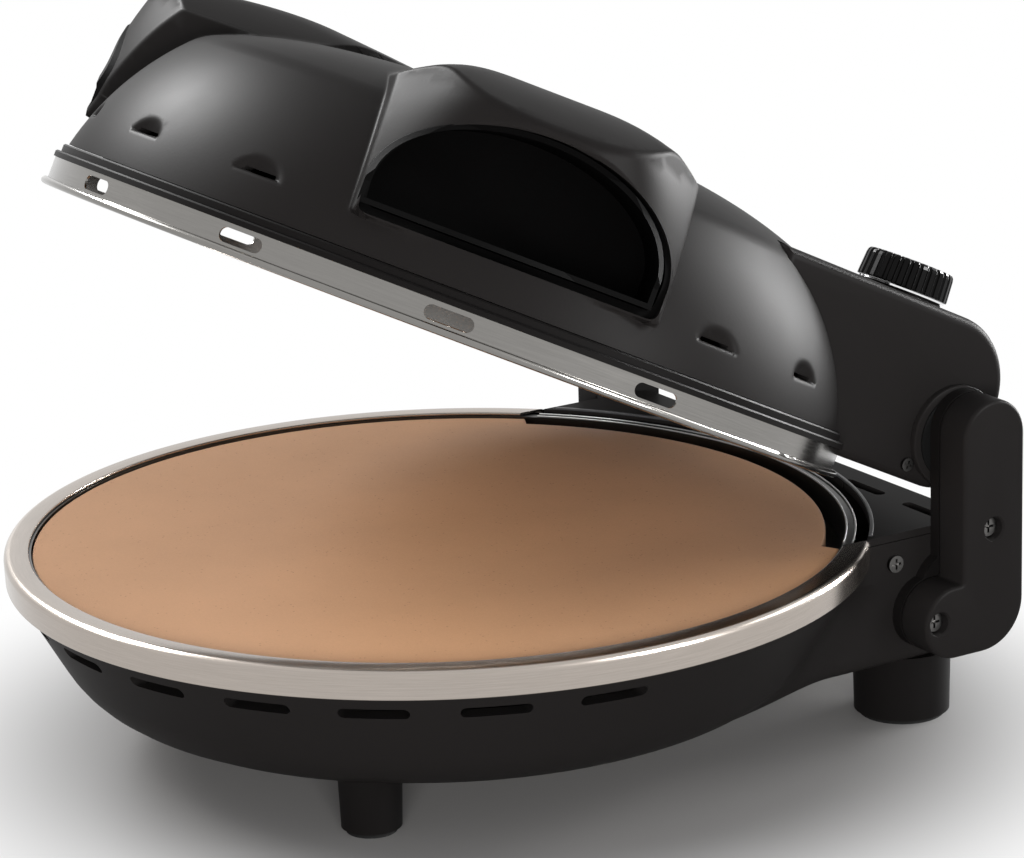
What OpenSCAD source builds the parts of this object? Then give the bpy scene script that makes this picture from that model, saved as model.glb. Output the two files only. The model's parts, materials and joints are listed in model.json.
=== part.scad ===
// Electric pizza maker: a round base that holds a baking stone, and a domed lid on a rear hinge.
// X runs across, -Y is the front, +Y the hinge side, +Z up. The base stands on Z = 0.
// The lid's own pieces are drawn closed, about the lid's axis, and are then swung open about the hinge.

/* [Base] */
// Outer diameter of the steel ring round the base
ring_d = 350; // [300:1:420]
// Height of the ring's flat top above the table
ring_top_z = 85; // [75:1:110]
// Width of the ring's flat top
ring_face_w = 10; // [8:0.5:14]
// Height of the ring's outer side
ring_side_h = 11.5; // [9:0.5:14]
// Thickness of the formed steel sheet
sheet = 1.2; // [0.8:0.1:1.4]
// Wall thickness of the moulded base
bowl_wall = 3; // [2:0.5:4]
// Depth of the bowl below the ring's top
bowl_depth = 61; // [56:1:66]
// Lean of the bowl's side from the vertical
bowl_lean = 29; // [22:1:34]
// Radius where the bowl's side turns into its floor
bowl_corner_r = 35; // [26:1:40]

/* [Rear block] */
// Width of the rear block between the arms
block_w = 238; // [190:1:270]
// How far the rear block reaches behind the ring
block_overhang = 6; // [4:1:14]
// Height of the block's floor above the table
block_floor_z = 29; // [27:1:34]
// Thickness of the deck plate on the block
deck_t = 3; // [2:0.5:4]

/* [Stone] */
// Thickness of the baking stone
stone_t = 12.7; // [9:0.1:13.5]
// How far the stone's rear edge is cut back
stone_cut = 7.5; // [4:0.5:9]
// Half angle of the cut at the stone's rear
stone_cut_half = 45; // [35:1:50]

/* [Feet] */
// Diameter of the front feet
front_foot_d = 25; // [18:1:30]
// Diameter of the rear feet
rear_foot_d = 40; // [30:1:44]
// Distance of the front feet from the ring's axis, across and forward
front_foot_at = 83; // [70:1:88]
// Thickness of the rubber pads
pad_t = 3; // [2:0.5:4]

/* [Arms] */
// Thickness of one arm across the object
arm_t = 22; // [18:1:28]
// Width of the arm's upright, front to back
arm_w = 30; // [26:1:36]
// Height of the arm's lower edge above the table
arm_low_z = 35.5; // [31:0.5:40]
// Radius of the arm's toe round the lower screw
arm_toe_r = 15; // [12:1:17]
// Radius of the arm's heel
arm_heel_r = 20; // [14:1:22]

/* [Hinge] */
// Height of the hinge axis above the ring's top
hinge_rise = 34; // [30:1:42]
// Distance of the hinge axis in front of the block's back
hinge_inset = 9; // [8:1:14]
// Diameter of the hinge pins
hinge_pin_d = 10; // [8:0.5:12]
// How far the lid stands open here
lid_open = 26.3; // [0:0.1:60]

/* [Lid] */
// How far the lid's bead lies inside the ring's outer edge
lid_inset = 6.5; // [5:0.5:8]
// Gap between the ring and the closed lid
lid_gap = 1.5; // [0.8:0.1:2.5]
// Height of the steel skirt
skirt_h = 11.5; // [9:0.5:13]
// Height of the dome's shoulder above the lid's lower edge
shoulder_z = 76; // [68:1:84]
// How far the shoulder lies inside the dome's lower edge
shoulder_in = 34; // [28:1:40]
// Height of the dome's top above the lid's lower edge
dome_z = 94; // [88:1:98]
// Wall thickness of the dome
dome_wall = 2.6; // [2:0.1:3.5]

/* [Hoods] */
// Angle of each side hood from the front
hood_angle = 61; // [55:1:66]
// Half width of a hood
hood_half_w = 61; // [52:1:66]
// Height of a hood's crest above the lid's lower edge
hood_crest_z = 103; // [98:1:108]
// Height of the finger mouth's lower edge
mouth_low_z = 35; // [34:0.5:42]
// Half width of the finger mouth
mouth_half_w = 57; // [44:1:57]
// Height of the finger mouth's top
mouth_top_z = 79.5; // [70:0.5:80]

/* [Knobs] */
// Diameter of a control knob
knob_d = 38; // [32:1:42]
// Height of a control knob
knob_h = 11.5; // [9:0.5:14]
// Distance of each knob's middle from the housing's side
knob_inset = 27; // [24:1:50]

/* [Vents] */
// Length of a slot in the base
base_slot_l = 27; // [16:1:30]
// Height of a slot in the base
base_slot_h = 4.5; // [3:0.5:6]
// Angle between slots in the base
base_slot_step = 15.6; // [12:0.1:20]
// Turn of the row of base slots about the stone's axis
base_slot_turn = 3.7; // [0:0.1:7]
// How far round from the front the row of base slots goes
base_slot_reach = 88; // [60:1:100]
// Length of a slot in the cover behind the stone
deck_slot_l = 26; // [16:1:30]
// Distance between slots in the cover behind the stone
deck_slot_step = 40.5; // [34:0.5:48]
// Length of a slot in the lid's skirt
skirt_slot_l = 19; // [12:1:24]
// Angle between slots in the skirt
skirt_slot_step = 29; // [24:1:34]
// Turn of the row of skirt slots about the lid's axis
skirt_slot_turn = -1; // [-4:0.5:4]

/* [Hidden] */
$fn = 96;
eps = 0.01;
play = 0.3;                                   // clearance between separate pieces
snug = 0.1;                                   // clearance in a seat
run_fit = 0.05;                               // radial clearance of a running fit
knuckle = 1.15;                               // how much wider than the tube a corner is

ring_r = ring_d / 2;
ring_in_r = ring_r - ring_face_w;
half_block = block_w / 2;
block_back = ring_r + block_overhang;
deck_z = ring_top_z - play;                   // top of the deck
block_top = deck_z - deck_t;                  // top of the block's walls, under the deck
ring_low_z = ring_top_z - ring_side_h;
bowl_low_z = ring_top_z - bowl_depth;
bowl_top_r = ring_r - 3.5;
ring_round = 3;                               // rounding of the ring's outer edge
ring_seat = 1.8;                              // the bowl's upright stays this far inside the ring's side

stone_r = ring_in_r - 1.5;
stone_z = ring_top_z - 2 - stone_t;
pan_sheet = 0.8;
pan_in_r = stone_r + 0.5;
pan_flange_z = ring_top_z - sheet - 0.2;
pan_flange_r = ring_r - ring_round - 0.6 - bowl_wall - play;
pan_ledge_z = stone_z - play;
pan_well_r = stone_r - 11.5;
pan_low_r = pan_well_r - 6;
pan_floor_z = bowl_low_z + bowl_wall + 18;
pan_post_at = 66;                             // pan posts lie at +- this in X and Y
deck_in_r = ring_r - ring_seat + play;
deck_tab_t = 3;
deck_tab_w = 12;
base_slot_drop = 8;                           // how far the base's slots lie below the ring

hinge_y = block_back - hinge_inset;
hinge_z = ring_top_z + hinge_rise;
hinge_lid_z = hinge_rise - lid_gap;           // hinge height in the lid's own frame

arm_in_x = half_block;
arm_out_x = half_block + arm_t;
arm_liner_t = 5;
arm_mid_y = hinge_y + 1;
arm_top_z = hinge_z + 5;
arm_toe_y = hinge_y - 18;
arm_toe_z = arm_low_z + arm_toe_r;
arm_heel_y = arm_mid_y + arm_w / 2 - arm_heel_r;
arm_heel_z = arm_low_z + arm_heel_r;
arm_wall = 3;
arm_low_screw = [arm_toe_y - 8, arm_toe_z + 1];
arm_high_screw = [arm_mid_y, ring_top_z + 1.1];
arm_screw_d = 4;
arm_head_d = 8;
arm_bore_d = 9;
arm_bore_depth = 7;

ring_end_y = sqrt(ring_r * ring_r - pow(half_block + play, 2));
// A deck screw sits between the ring's end and the arm.
deck_screw_at = [ring_end_y + 0.392 * (arm_mid_y - arm_w / 2 - ring_end_y), ring_top_z - 12.5];
rear_foot_at = [half_block - 1 - rear_foot_d / 2, block_back - 1.5 - rear_foot_d / 2];
gland_x = -60;
gland_z = block_floor_z + 22;
gland_d = 14;

lid_r = ring_r - lid_inset;                   // outer radius of the skirt's bead
bead_r = 1.5;
skirt_r = lid_r - 2.2;
rim_r = skirt_r + 0.8;
rim_low_z = skirt_h + 0.1;
rim_mid_z = rim_low_z + 2.6;
rim_top_z = rim_mid_z + 3.2;
rim_in_r = skirt_r - 8;
dome_r = skirt_r - 3.3;                       // outer radius at the dome's lower edge
dome_low_z = rim_top_z + 0.1;
shoulder_r = dome_r - shoulder_in;
dome_side_bulge = 118;                        // radius of the side's arc
dome_top_bulge = 330;                         // radius of the top's arc

house_half = half_block - 4;                  // half width of the hinge housing
house_wall = 2.5;
house_low_z = 9;
house_top_z = dome_z - 15.8;
house_back_y = hinge_y + 18.5;
house_top_r = 30;
house_low_r = 22;
hub_d = 42;
washer_d = 36;
hub_face = half_block - 1.2;
hub_bore_d = hinge_pin_d + 4;
hub_depth = 18;
house_cover_front = 108;
house_screw_at = [hinge_y - 17.5, hinge_lid_z - 17.3];

reflector_z = 30;
reflector_r = rim_in_r - 18;
shield_z = 44;
vent_angles = [0, 24, 94.5, 116];             // the dome's small vents, counted from the front
lid_posts = [for (a = [-90, 45, 135]) 80 * [cos(a), sin(a)]];
house_cut_y = 62;                             // the housing takes the dome's place behind this

hood_tip = lid_r + 3.5;                       // farthest reach of a hood from the lid's axis
hood_foot = ring_r - 20;                      // reach of a hood's side at the mouth's lower edge
hood_side_top = shoulder_z + 7.5;
hood_side_reach = hood_foot - 29;
hood_cheek_turn = 55;                         // how far a cheek faces sideways
hood_visor_r = 67;                            // radius of the visor's edge in plan
hood_visor_flare = 0.236;                     // growth of that radius per millimetre downwards
mouth_round_h = mouth_top_z - mouth_low_z - 10;
pocket_wall = 2;
pocket_back = hood_foot - 42;

collar_d = knob_d - 4;
collar_z = house_top_z + 1.4;
trim_t = 0.7;
knob_z = collar_z + trim_t + 0.4;
knob_y = hinge_y - 29;
shaft_d = 6;
thermostat_size = [34, 26, 18];
timer_d = 44;
timer_h = 22;
control_top = house_top_z - house_wall - 1;
knob_x = house_half - knob_inset;
lens_d = 8;
lens_x = 14;

element_d = 6.6;
lower_element_z = pan_floor_z + 10;
upper_element_z = reflector_z - 9;
element_out_r = 114;
element_in_r = 68;
element_turn = 58;                            // angle where the outer loop passes to the inner one
element_in_start = 80;                        // angle where the inner loop begins
element_legs = [-14, element_in_r * cos(element_in_start)];   // where the heater's two ends leave it
leg_y = ring_r - 13;
clip_angles = [150, 210, 270, 330, 390];

// The front of the ring and the back of the open housing set the middle of the whole object.
house_arc_y = house_back_y - house_top_r - hinge_y;
house_arc_z = house_top_z - house_top_r - hinge_lid_z;
open_back = hinge_y + house_arc_y * cos(lid_open) + house_arc_z * sin(lid_open) + house_top_r;
y_shift = -(open_back - ring_r) / 2;

// ---- shared helpers ----

module place() { translate([0, y_shift, 0]) children(); }

// Puts a piece drawn in the closed lid's own frame where the open lid carries it.
module on_lid() {
    place() translate([0, hinge_y, hinge_z]) rotate([-lid_open, 0, 0])
        translate([0, -hinge_y, -hinge_lid_z]) children();
}

module both_sides() { children(); mirror([1, 0, 0]) children(); }

function arc_points(c, r, from, to, steps) =
    [for (i = [0:steps]) let (a = from + (to - from) * i / steps) [c[0] + r * cos(a), c[1] + r * sin(a)]];

// Points on the arc of radius r that bulges to the left of the way from p to q, without p itself.
function bulge_points(p, q, r, steps) =
    let (d = norm(q - p), m = (p + q) / 2, n = [q[1] - p[1], p[0] - q[0]] / d,
         c = m - n * sqrt(r * r - d * d / 4),
         a = atan2(p[1] - c[1], p[0] - c[0]), b = atan2(q[1] - c[1], q[0] - c[0]))
    [for (i = [1:steps]) let (t = a + (b - a) * i / steps) c + r * [cos(t), sin(t)]];

module tube_x(d, x0, x1) { translate([x0, 0, 0]) rotate([0, 90, 0]) cylinder(d = d, h = x1 - x0); }

// A machine screw along -Z with its head's underside at Z = 0.
module screw(head_d, head_h, d, length) {
    difference() {
        cylinder(d = head_d, h = head_h);
        for (turn = [0, 90]) rotate([0, 0, turn])
            translate([-head_d * 0.32, -0.5, head_h * 0.45]) cube([head_d * 0.64, 1, head_h]);
    }
    translate([0, 0, -length]) cylinder(d = d, h = length + eps);
}

// The box that a turned piece leaves free at the rear, half_w to each side of the middle.
module rear_gap(half_w) { translate([-half_w, 40, 0]) cube([2 * half_w, ring_d, ring_d]); }

// ---- base ----

module bowl_profile(w) {
    lean_r = w / cos(bowl_lean);
    corner_z = bowl_low_z + bowl_corner_r;
    turn_z = corner_z - bowl_corner_r * sin(bowl_lean);
    turn_r = bowl_top_r - (ring_low_z - turn_z) * tan(bowl_lean);
    corner_x = turn_r - bowl_corner_r * cos(bowl_lean);
    polygon(concat(
        [[0, bowl_low_z + w]],
        arc_points([corner_x, corner_z], bowl_corner_r - w, -90, -bowl_lean, 5),
        [[bowl_top_r - lean_r, ring_low_z], [ring_r - ring_seat - w, ring_low_z + play],
         [ring_r - ring_seat - w, ring_top_z - ring_round - 0.6],
         [ring_r - ring_round - 0.6 - w, pan_flange_z], [ring_r - ring_round - 0.6 - w, pan_flange_z + w],
         [0, pan_flange_z + w]]));
}

module block_outline(w) {
    r = 8;
    difference() {
        union() {
            translate([-half_block + w, 40]) square([block_w - 2 * w, block_back - r - 40]);
            translate([-half_block + r, 40]) square([block_w - 2 * r, block_back - w - 40]);
            both_sides() translate([half_block - r, block_back - r]) circle(r = r - w);
        }
    }
}

module base_bowl() {
    boss = 10;
    color([0.16, 0.15, 0.15]) place() difference() {
        union() {
            difference() {
                union() {
                    intersection() {
                        rotate_extrude() bowl_profile(0);
                        translate([-ring_d, -ring_d, 0]) cube([2 * ring_d, 2 * ring_d, pan_flange_z]);
                    }
                    translate([0, 0, block_floor_z])
                        linear_extrude(block_top - block_floor_z) block_outline(0);
                }
                rotate_extrude() bowl_profile(bowl_wall);
                translate([0, 0, block_floor_z + bowl_wall])
                    linear_extrude(ring_top_z) block_outline(bowl_wall);
            }
            for (x = [-1, 1], y = [-1, 1]) translate([x * pan_post_at, y * pan_post_at, bowl_low_z + eps])
                cylinder(d = boss, h = pan_floor_z - bowl_low_z - snug);
            both_sides() translate([0, arm_low_screw[0], arm_low_screw[1]])
                tube_x(boss, half_block - 12, half_block - eps);
        }
        for (x = [-1, 1], y = [-1, 1]) translate([x * pan_post_at, y * pan_post_at, pan_floor_z - 12])
            cylinder(d = 3, h = 20);
        for (i = [-11:11]) rotate([0, 0, -90 + base_slot_turn + i * base_slot_step])
            if (abs(base_slot_turn + i * base_slot_step) < base_slot_reach)
                translate([bowl_top_r - 20, 0, ring_low_z - base_slot_drop]) rotate([90, 0, 90])
                    linear_extrude(30) obround(base_slot_l, base_slot_h);
        both_sides() {
            translate([0, arm_low_screw[0], arm_low_screw[1]])
                tube_x(arm_screw_d, half_block - 14, half_block + 2);
            translate([0, deck_screw_at[0], deck_screw_at[1]]) tube_x(3.2, half_block - 8, half_block + 2);
            translate([rear_foot_at[0], rear_foot_at[1], 0]) cylinder(d = 4.2, h = block_floor_z + 10);
            translate([front_foot_at, -front_foot_at, 0]) cylinder(d = 4.2, h = bowl_low_z + 10);
        }
        translate([gland_x, block_back - 10, gland_z]) rotate([-90, 0, 0]) cylinder(d = gland_d, h = 20);
    }
}

module obround(length, height) {
    square([length - height, height], center = true);
    for (side = [-1, 1]) translate([side * (length - height) / 2, 0]) circle(d = height);
}

module base_ring() {
    low = ring_r - 0.3;
    color([0.78, 0.78, 0.8]) place() difference() {
        rotate_extrude() polygon(concat(
            [[ring_in_r, ring_top_z - sheet], [ring_in_r, ring_top_z]],
            arc_points([ring_r - ring_round, ring_top_z - ring_round], ring_round, 90, 0, 6),
            [[low, ring_low_z], [low - sheet, ring_low_z], [ring_r - sheet, ring_top_z - ring_round],
             [ring_r - ring_round, ring_top_z - sheet]]));
        rear_gap(half_block + play);
    }
}

module deck_cover() {
    pairs = floor((half_block - bowl_wall - 1.5 - deck_slot_l / 2) / deck_slot_step + 0.5);
    color([0.14, 0.13, 0.13]) place() difference() {
        union() {
            translate([0, 0, block_top + eps]) linear_extrude(deck_t - eps) difference() {
                block_outline(0);
                circle(r = deck_in_r);
            }
            both_sides() translate([half_block - bowl_wall - play - deck_tab_t, 0, 0])
                translate([0, deck_screw_at[0] - deck_tab_w / 2, deck_screw_at[1] - deck_tab_w / 2])
                cube([deck_tab_t, deck_tab_w, block_top - deck_screw_at[1] + deck_tab_w / 2 + 2 * eps]);
        }
        for (i = [-pairs:pairs - 1]) translate([(i + 0.5) * deck_slot_step, block_back - 12.5, block_top - 1])
            linear_extrude(deck_t + 2) obround(deck_slot_l, 5);
        both_sides() translate([0, deck_screw_at[0], deck_screw_at[1]])
            tube_x(3, half_block - 10, half_block);
    }
}

module lower_pan() {
    s = pan_sheet;
    color([0.62, 0.62, 0.63]) place() difference() {
        rotate_extrude() polygon([
            [0, pan_floor_z], [pan_low_r, pan_floor_z], [pan_well_r, pan_ledge_z - s],
            [pan_in_r + s, pan_ledge_z - s], [pan_in_r + s, pan_flange_z - s],
            [pan_flange_r, pan_flange_z - s], [pan_flange_r, pan_flange_z], [pan_in_r, pan_flange_z],
            [pan_in_r, pan_ledge_z],
            [pan_well_r - s, pan_ledge_z], [pan_low_r - s, pan_floor_z + s], [0, pan_floor_z + s]]);
        for (x = [-1, 1], y = [-1, 1]) translate([x * pan_post_at, y * pan_post_at, pan_floor_z - 2])
            cylinder(d = 3.4, h = 5);
        for (x = element_legs) translate([x, 0, lower_element_z]) rotate([-90, 0, 0])
            cylinder(d = element_d + 2, h = ring_r);
    }
}

module pan_screws() {
    color([0.7, 0.7, 0.72]) place() for (x = [-1, 1], y = [-1, 1])
        translate([x * pan_post_at, y * pan_post_at, pan_floor_z + pan_sheet]) screw(6, 2.2, 2.9, 9);
}

// A sheathed heater of two loops, wound from one tube, whose two ends leave to the rear.
module heater(leg_end) {
    out_start = 90 - asin(element_legs[0] / element_out_r);
    starts = [[element_out_r, out_start], [element_in_r, element_in_start]];
    for (loop = starts) rotate([0, 0, loop[1]]) rotate_extrude(angle = 360 + element_turn - loop[1])
        translate([loop[0], 0]) circle(d = element_d);
    rotate([0, 0, element_turn]) translate([element_in_r, 0, 0]) rotate([0, 90, 0])
        cylinder(d = element_d, h = element_out_r - element_in_r);
    for (at = concat(starts, [[element_out_r, element_turn], [element_in_r, element_turn]]))
        rotate([0, 0, at[1]]) translate([at[0], 0, 0]) sphere(d = element_d * knuckle);
    for (i = [0, 1]) translate([element_legs[i], starts[i][0] * sin(starts[i][1]), 0]) rotate([-90, 0, 0])
        cylinder(d = element_d, h = leg_end - starts[i][0] * sin(starts[i][1]));
}

// One saddle clip under a heater's tube: its foot stands on the sheet at -drop.
module clip(drop) {
    difference() {
        translate([-element_d / 2 - 2.5, -5, -drop]) cube([element_d + 5, 10, drop + element_d / 2 - 1]);
        rotate([90, 0, 0]) translate([0, 0, -6]) cylinder(d = element_d + 2 * snug, h = 12);
        translate([-element_d / 2 - 1, -6, 0]) cube([element_d + 2, 12, element_d]);
    }
}

module lower_element() {
    color([0.32, 0.3, 0.3]) place() translate([0, 0, lower_element_z]) heater(leg_y);
}

module lower_clips() {
    color([0.6, 0.6, 0.6]) place() translate([0, 0, lower_element_z])
        for (a = clip_angles, r = [element_in_r, element_out_r])
            rotate([0, 0, a]) translate([r, 0, 0]) clip(lower_element_z - pan_floor_z - pan_sheet);
}

module baking_stone() {
    edge = 1;
    color([0.85, 0.65, 0.5]) place() translate([0, 0, stone_z]) {
        rotate_extrude() polygon([[0, 0], [stone_r - stone_cut, 0], [stone_r - stone_cut, stone_t - edge],
            [stone_r - stone_cut - edge, stone_t], [0, stone_t]]);
        rotate([0, 0, 90 + stone_cut_half]) rotate_extrude(angle = 360 - 2 * stone_cut_half)
            polygon([[stone_r - 2 * stone_cut, 0], [stone_r, 0], [stone_r, stone_t - edge],
                [stone_r - edge, stone_t], [stone_r - 2 * stone_cut, stone_t]]);
    }
}

module lower_limiter() {
    color([0.75, 0.73, 0.68]) place() translate([0, -36, pan_floor_z - 11]) {
        cylinder(d = 16, h = 11 - snug);
        translate([-12, -4, 9]) cube([24, 8, 2 - snug]);
        for (side = [-1, 1]) translate([side * 4 - 0.4, -3, -7]) cube([0.8, 6, 7 + eps]);
    }
}

module terminal_block() {
    floor_z = block_floor_z + bowl_wall;
    color([0.92, 0.9, 0.84]) place() translate([20, block_back - 34, floor_z + snug]) difference() {
        cube([44, 18, 17]);
        for (i = [0:2]) {
            translate([8 + i * 14, -1, 8]) rotate([-90, 0, 0]) cylinder(d = 4, h = 20);
            translate([8 + i * 14, 9, 10]) cylinder(d = 4.5, h = 10);
        }
    }
}

// A run of wire through a list of points, with a round knuckle at each corner.
module wire(d, points) {
    $fn = 16;
    for (i = [0:len(points) - 2]) {
        v = points[i + 1] - points[i];
        translate(points[i]) rotate([0, acos(v[2] / norm(v)), atan2(v[1], v[0])])
            cylinder(d = d, h = norm(v));
    }
    for (i = [1:len(points) - 2]) translate(points[i]) sphere(d = d * knuckle);
}

module base_wiring() {
    z = block_floor_z + bowl_wall + 8;
    terminal_y = block_back - 34;
    side_x = 20 - 2 * play;
    color([0.75, 0.72, 0.66]) place() {
        wire(3, [[element_legs[1], leg_y + 1.6, lower_element_z], [28, block_back - 8, lower_element_z - 8],
            [28, terminal_y + 18 + play, z]]);
        wire(3, [[element_legs[0], leg_y + 1.6, lower_element_z], [-20, block_back - 10, z + 7],
            [-8, terminal_y + 11, z + 4], [side_x, terminal_y + 3, z + 4]]);
        wire(4, [[gland_x, block_back - 2, gland_z], [gland_x, block_back - 10, gland_z],
            [gland_x, block_back - 15, z], [side_x, terminal_y + 9, z - 2]]);
    }
}

module cord_gland() {
    color([0.1, 0.1, 0.1]) place() translate([gland_x, block_back, gland_z]) rotate([-90, 0, 0])
    difference() {
        union() {
            translate([0, 0, -bowl_wall - 2.5]) cylinder(d = gland_d + 3, h = 2.2);
            translate([0, 0, -bowl_wall - 1]) cylinder(d = gland_d - 2 * snug, h = bowl_wall + 2);
            translate([0, 0, 0.3]) cylinder(d = gland_d + 4, h = 2.5);
        }
        translate([0, 0, -bowl_wall - 3]) cylinder(d = 7.5, h = bowl_wall + 8);
    }
}

module deck_screws() {
    color([0.5, 0.5, 0.5]) place() both_sides()
        translate([half_block + snug, deck_screw_at[0], deck_screw_at[1]]) rotate([0, 90, 0])
            screw(7, 1.6, 2.8, 8);
}

module foot(d, top_z, taper) {
    difference() {
        translate([0, 0, pad_t - 1]) cylinder(d1 = d - taper, d2 = d, h = top_z - pad_t + 1);
        translate([0, 0, pad_t - 2]) cylinder(d = d - 5, h = 3);
        cylinder(d = 9, h = top_z - 4);
        cylinder(d = 4.4, h = top_z + 1);
    }
}

module front_foot() {
    translate([front_foot_at, -front_foot_at, 0]) foot(front_foot_d, bowl_low_z - snug, 1.5);
}

module rear_foot() {
    translate([rear_foot_at[0], rear_foot_at[1], 0]) foot(rear_foot_d, block_floor_z - snug, 1);
}

module front_foot_right() { color([0.13, 0.13, 0.13]) place() front_foot(); }
module front_foot_left() { color([0.13, 0.13, 0.13]) place() mirror([1, 0, 0]) front_foot(); }
module rear_foot_right() { color([0.13, 0.13, 0.13]) place() rear_foot(); }
module rear_foot_left() { color([0.13, 0.13, 0.13]) place() mirror([1, 0, 0]) rear_foot(); }

module foot_pads() {
    h = pad_t + 1 - snug;
    color([0.05, 0.05, 0.05]) place() both_sides() {
        translate([front_foot_at, -front_foot_at, 0]) cylinder(d = front_foot_d - 5 - 2 * snug, h = h);
        translate([rear_foot_at[0], rear_foot_at[1], 0]) cylinder(d = rear_foot_d - 5 - 2 * snug, h = h);
    }
}

module foot_screws() {
    head = 2.4;
    color([0.55, 0.55, 0.56]) place() both_sides() {
        translate([front_foot_at, -front_foot_at, bowl_low_z - 4 - 2 * snug]) rotate([180, 0, 0])
            screw(7.6, head, 3.9, 4 + bowl_wall + 3);
        translate([rear_foot_at[0], rear_foot_at[1], block_floor_z - 4 - 2 * snug]) rotate([180, 0, 0])
            screw(7.6, head, 3.9, 4 + bowl_wall + 3);
    }
}

// ---- arms and hinge ----

module arm_outline(w) {
    translate([arm_mid_y - arm_w / 2 + w, arm_heel_z]) square([arm_w - 2 * w, arm_top_z - arm_heel_z]);
    translate([arm_mid_y, arm_top_z]) circle(r = arm_w / 2 - w);
    translate([arm_heel_y, arm_heel_z]) circle(r = arm_heel_r - w);
    translate([arm_toe_y, arm_toe_z]) circle(r = arm_toe_r - w);
    translate([arm_toe_y, arm_low_z + w]) square([arm_heel_y - arm_toe_y, 2 * arm_toe_r - 2 * w]);
}

// Draws children, given as (Y, Z) outlines, as a plate from x0 to x1.
module plate_x(x0, x1) { translate([x0, 0, 0]) rotate([90, 0, 90]) linear_extrude(x1 - x0) children(); }

module arm() {
    inner = arm_in_x + arm_liner_t + snug;
    difference() {
        union() {
            difference() {
                plate_x(inner, arm_out_x) arm_outline(0);
                plate_x(inner - 1, arm_out_x - arm_wall) arm_outline(arm_wall);
            }
            for (p = [arm_low_screw, arm_high_screw]) translate([0, p[0], p[1]])
                tube_x(arm_bore_d + 4, inner, arm_out_x - 1);
        }
        for (p = [arm_low_screw, arm_high_screw]) translate([0, p[0], p[1]]) {
            tube_x(arm_bore_d, arm_out_x - arm_bore_depth, arm_out_x + 1);
            tube_x(arm_screw_d + 0.4, inner - 1, arm_out_x);
        }
    }
}

module arm_liner() {
    difference() {
        plate_x(arm_in_x + snug, arm_in_x + arm_liner_t) arm_outline(0);
        translate([0, hinge_y, hinge_z])
            tube_x(hinge_pin_d + 2 * run_fit, arm_in_x - 1, arm_in_x + arm_liner_t + 1);
        for (p = [arm_low_screw, arm_high_screw]) translate([0, p[0], p[1]])
            tube_x(arm_screw_d + 0.2, arm_in_x - 1, arm_in_x + arm_liner_t + 1);
    }
}

module arm_right() { color([0.15, 0.14, 0.14]) place() arm(); }
module arm_left() { color([0.15, 0.14, 0.14]) place() mirror([1, 0, 0]) arm(); }
module arm_liner_right() { color([0.12, 0.12, 0.12]) place() arm_liner(); }
module arm_liner_left() { color([0.12, 0.12, 0.12]) place() mirror([1, 0, 0]) arm_liner(); }

module arm_screws() {
    seat = arm_out_x - arm_bore_depth;
    color([0.5, 0.5, 0.52]) place() both_sides() {
        translate([seat + snug, arm_low_screw[0], arm_low_screw[1]]) rotate([0, 90, 0])
            screw(arm_head_d, 3, arm_screw_d - 0.1, seat - half_block + 10);
        translate([seat + snug, arm_high_screw[0], arm_high_screw[1]]) rotate([0, 90, 0])
            screw(arm_head_d, 3, arm_screw_d - 0.1, seat - arm_in_x - 1);
    }
}

module hinge_pin() {
    flange_x = arm_in_x + arm_liner_t + snug;
    translate([0, hinge_y, hinge_z]) difference() {
        union() {
            tube_x(hinge_pin_d, hub_face - hub_depth, flange_x + 1);
            tube_x(hinge_pin_d + 7, flange_x, flange_x + 2.5);
        }
        tube_x(hinge_pin_d - 4, hub_face - hub_depth - 1, flange_x + 4);
    }
}

module hinge_pin_right() { color([0.7, 0.7, 0.72]) place() hinge_pin(); }
module hinge_pin_left() { color([0.7, 0.7, 0.72]) place() mirror([1, 0, 0]) hinge_pin(); }

module friction_washers() {
    gap = arm_in_x - hub_face;
    color([0.1, 0.1, 0.1]) place() both_sides() translate([0, hinge_y, hinge_z]) difference() {
        tube_x(washer_d, hub_face + gap * 0.25, hub_face + gap * 0.85);
        tube_x(hinge_pin_d + 2 * run_fit, hub_face - 1, arm_in_x + 1);
    }
}

module hinge_bush() {
    translate([0, hinge_y, hinge_lid_z]) difference() {
        tube_x(hub_bore_d - 2 * run_fit, hub_face - hub_depth + 1, hub_face);
        tube_x(hinge_pin_d + 2 * run_fit, hub_face - hub_depth, hub_face + 1);
    }
}

module hinge_bush_right() { color([0.72, 0.58, 0.3]) on_lid() hinge_bush(); }
module hinge_bush_left() { color([0.72, 0.58, 0.3]) on_lid() mirror([1, 0, 0]) hinge_bush(); }

// ---- lid ----

module dome_profile(w) {
    low = [dome_r - w, dome_low_z];
    shoulder = [shoulder_r - w, shoulder_z - w * 0.6];
    top = [0, dome_z - w];
    polygon(concat([[0, dome_low_z - (w > 0 ? 5 : 0)], [dome_r - w, dome_low_z - (w > 0 ? 5 : 0)], low],
        bulge_points(low, shoulder, dome_side_bulge, 6), bulge_points(shoulder, top, dome_top_bulge, 5)));
}

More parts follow.
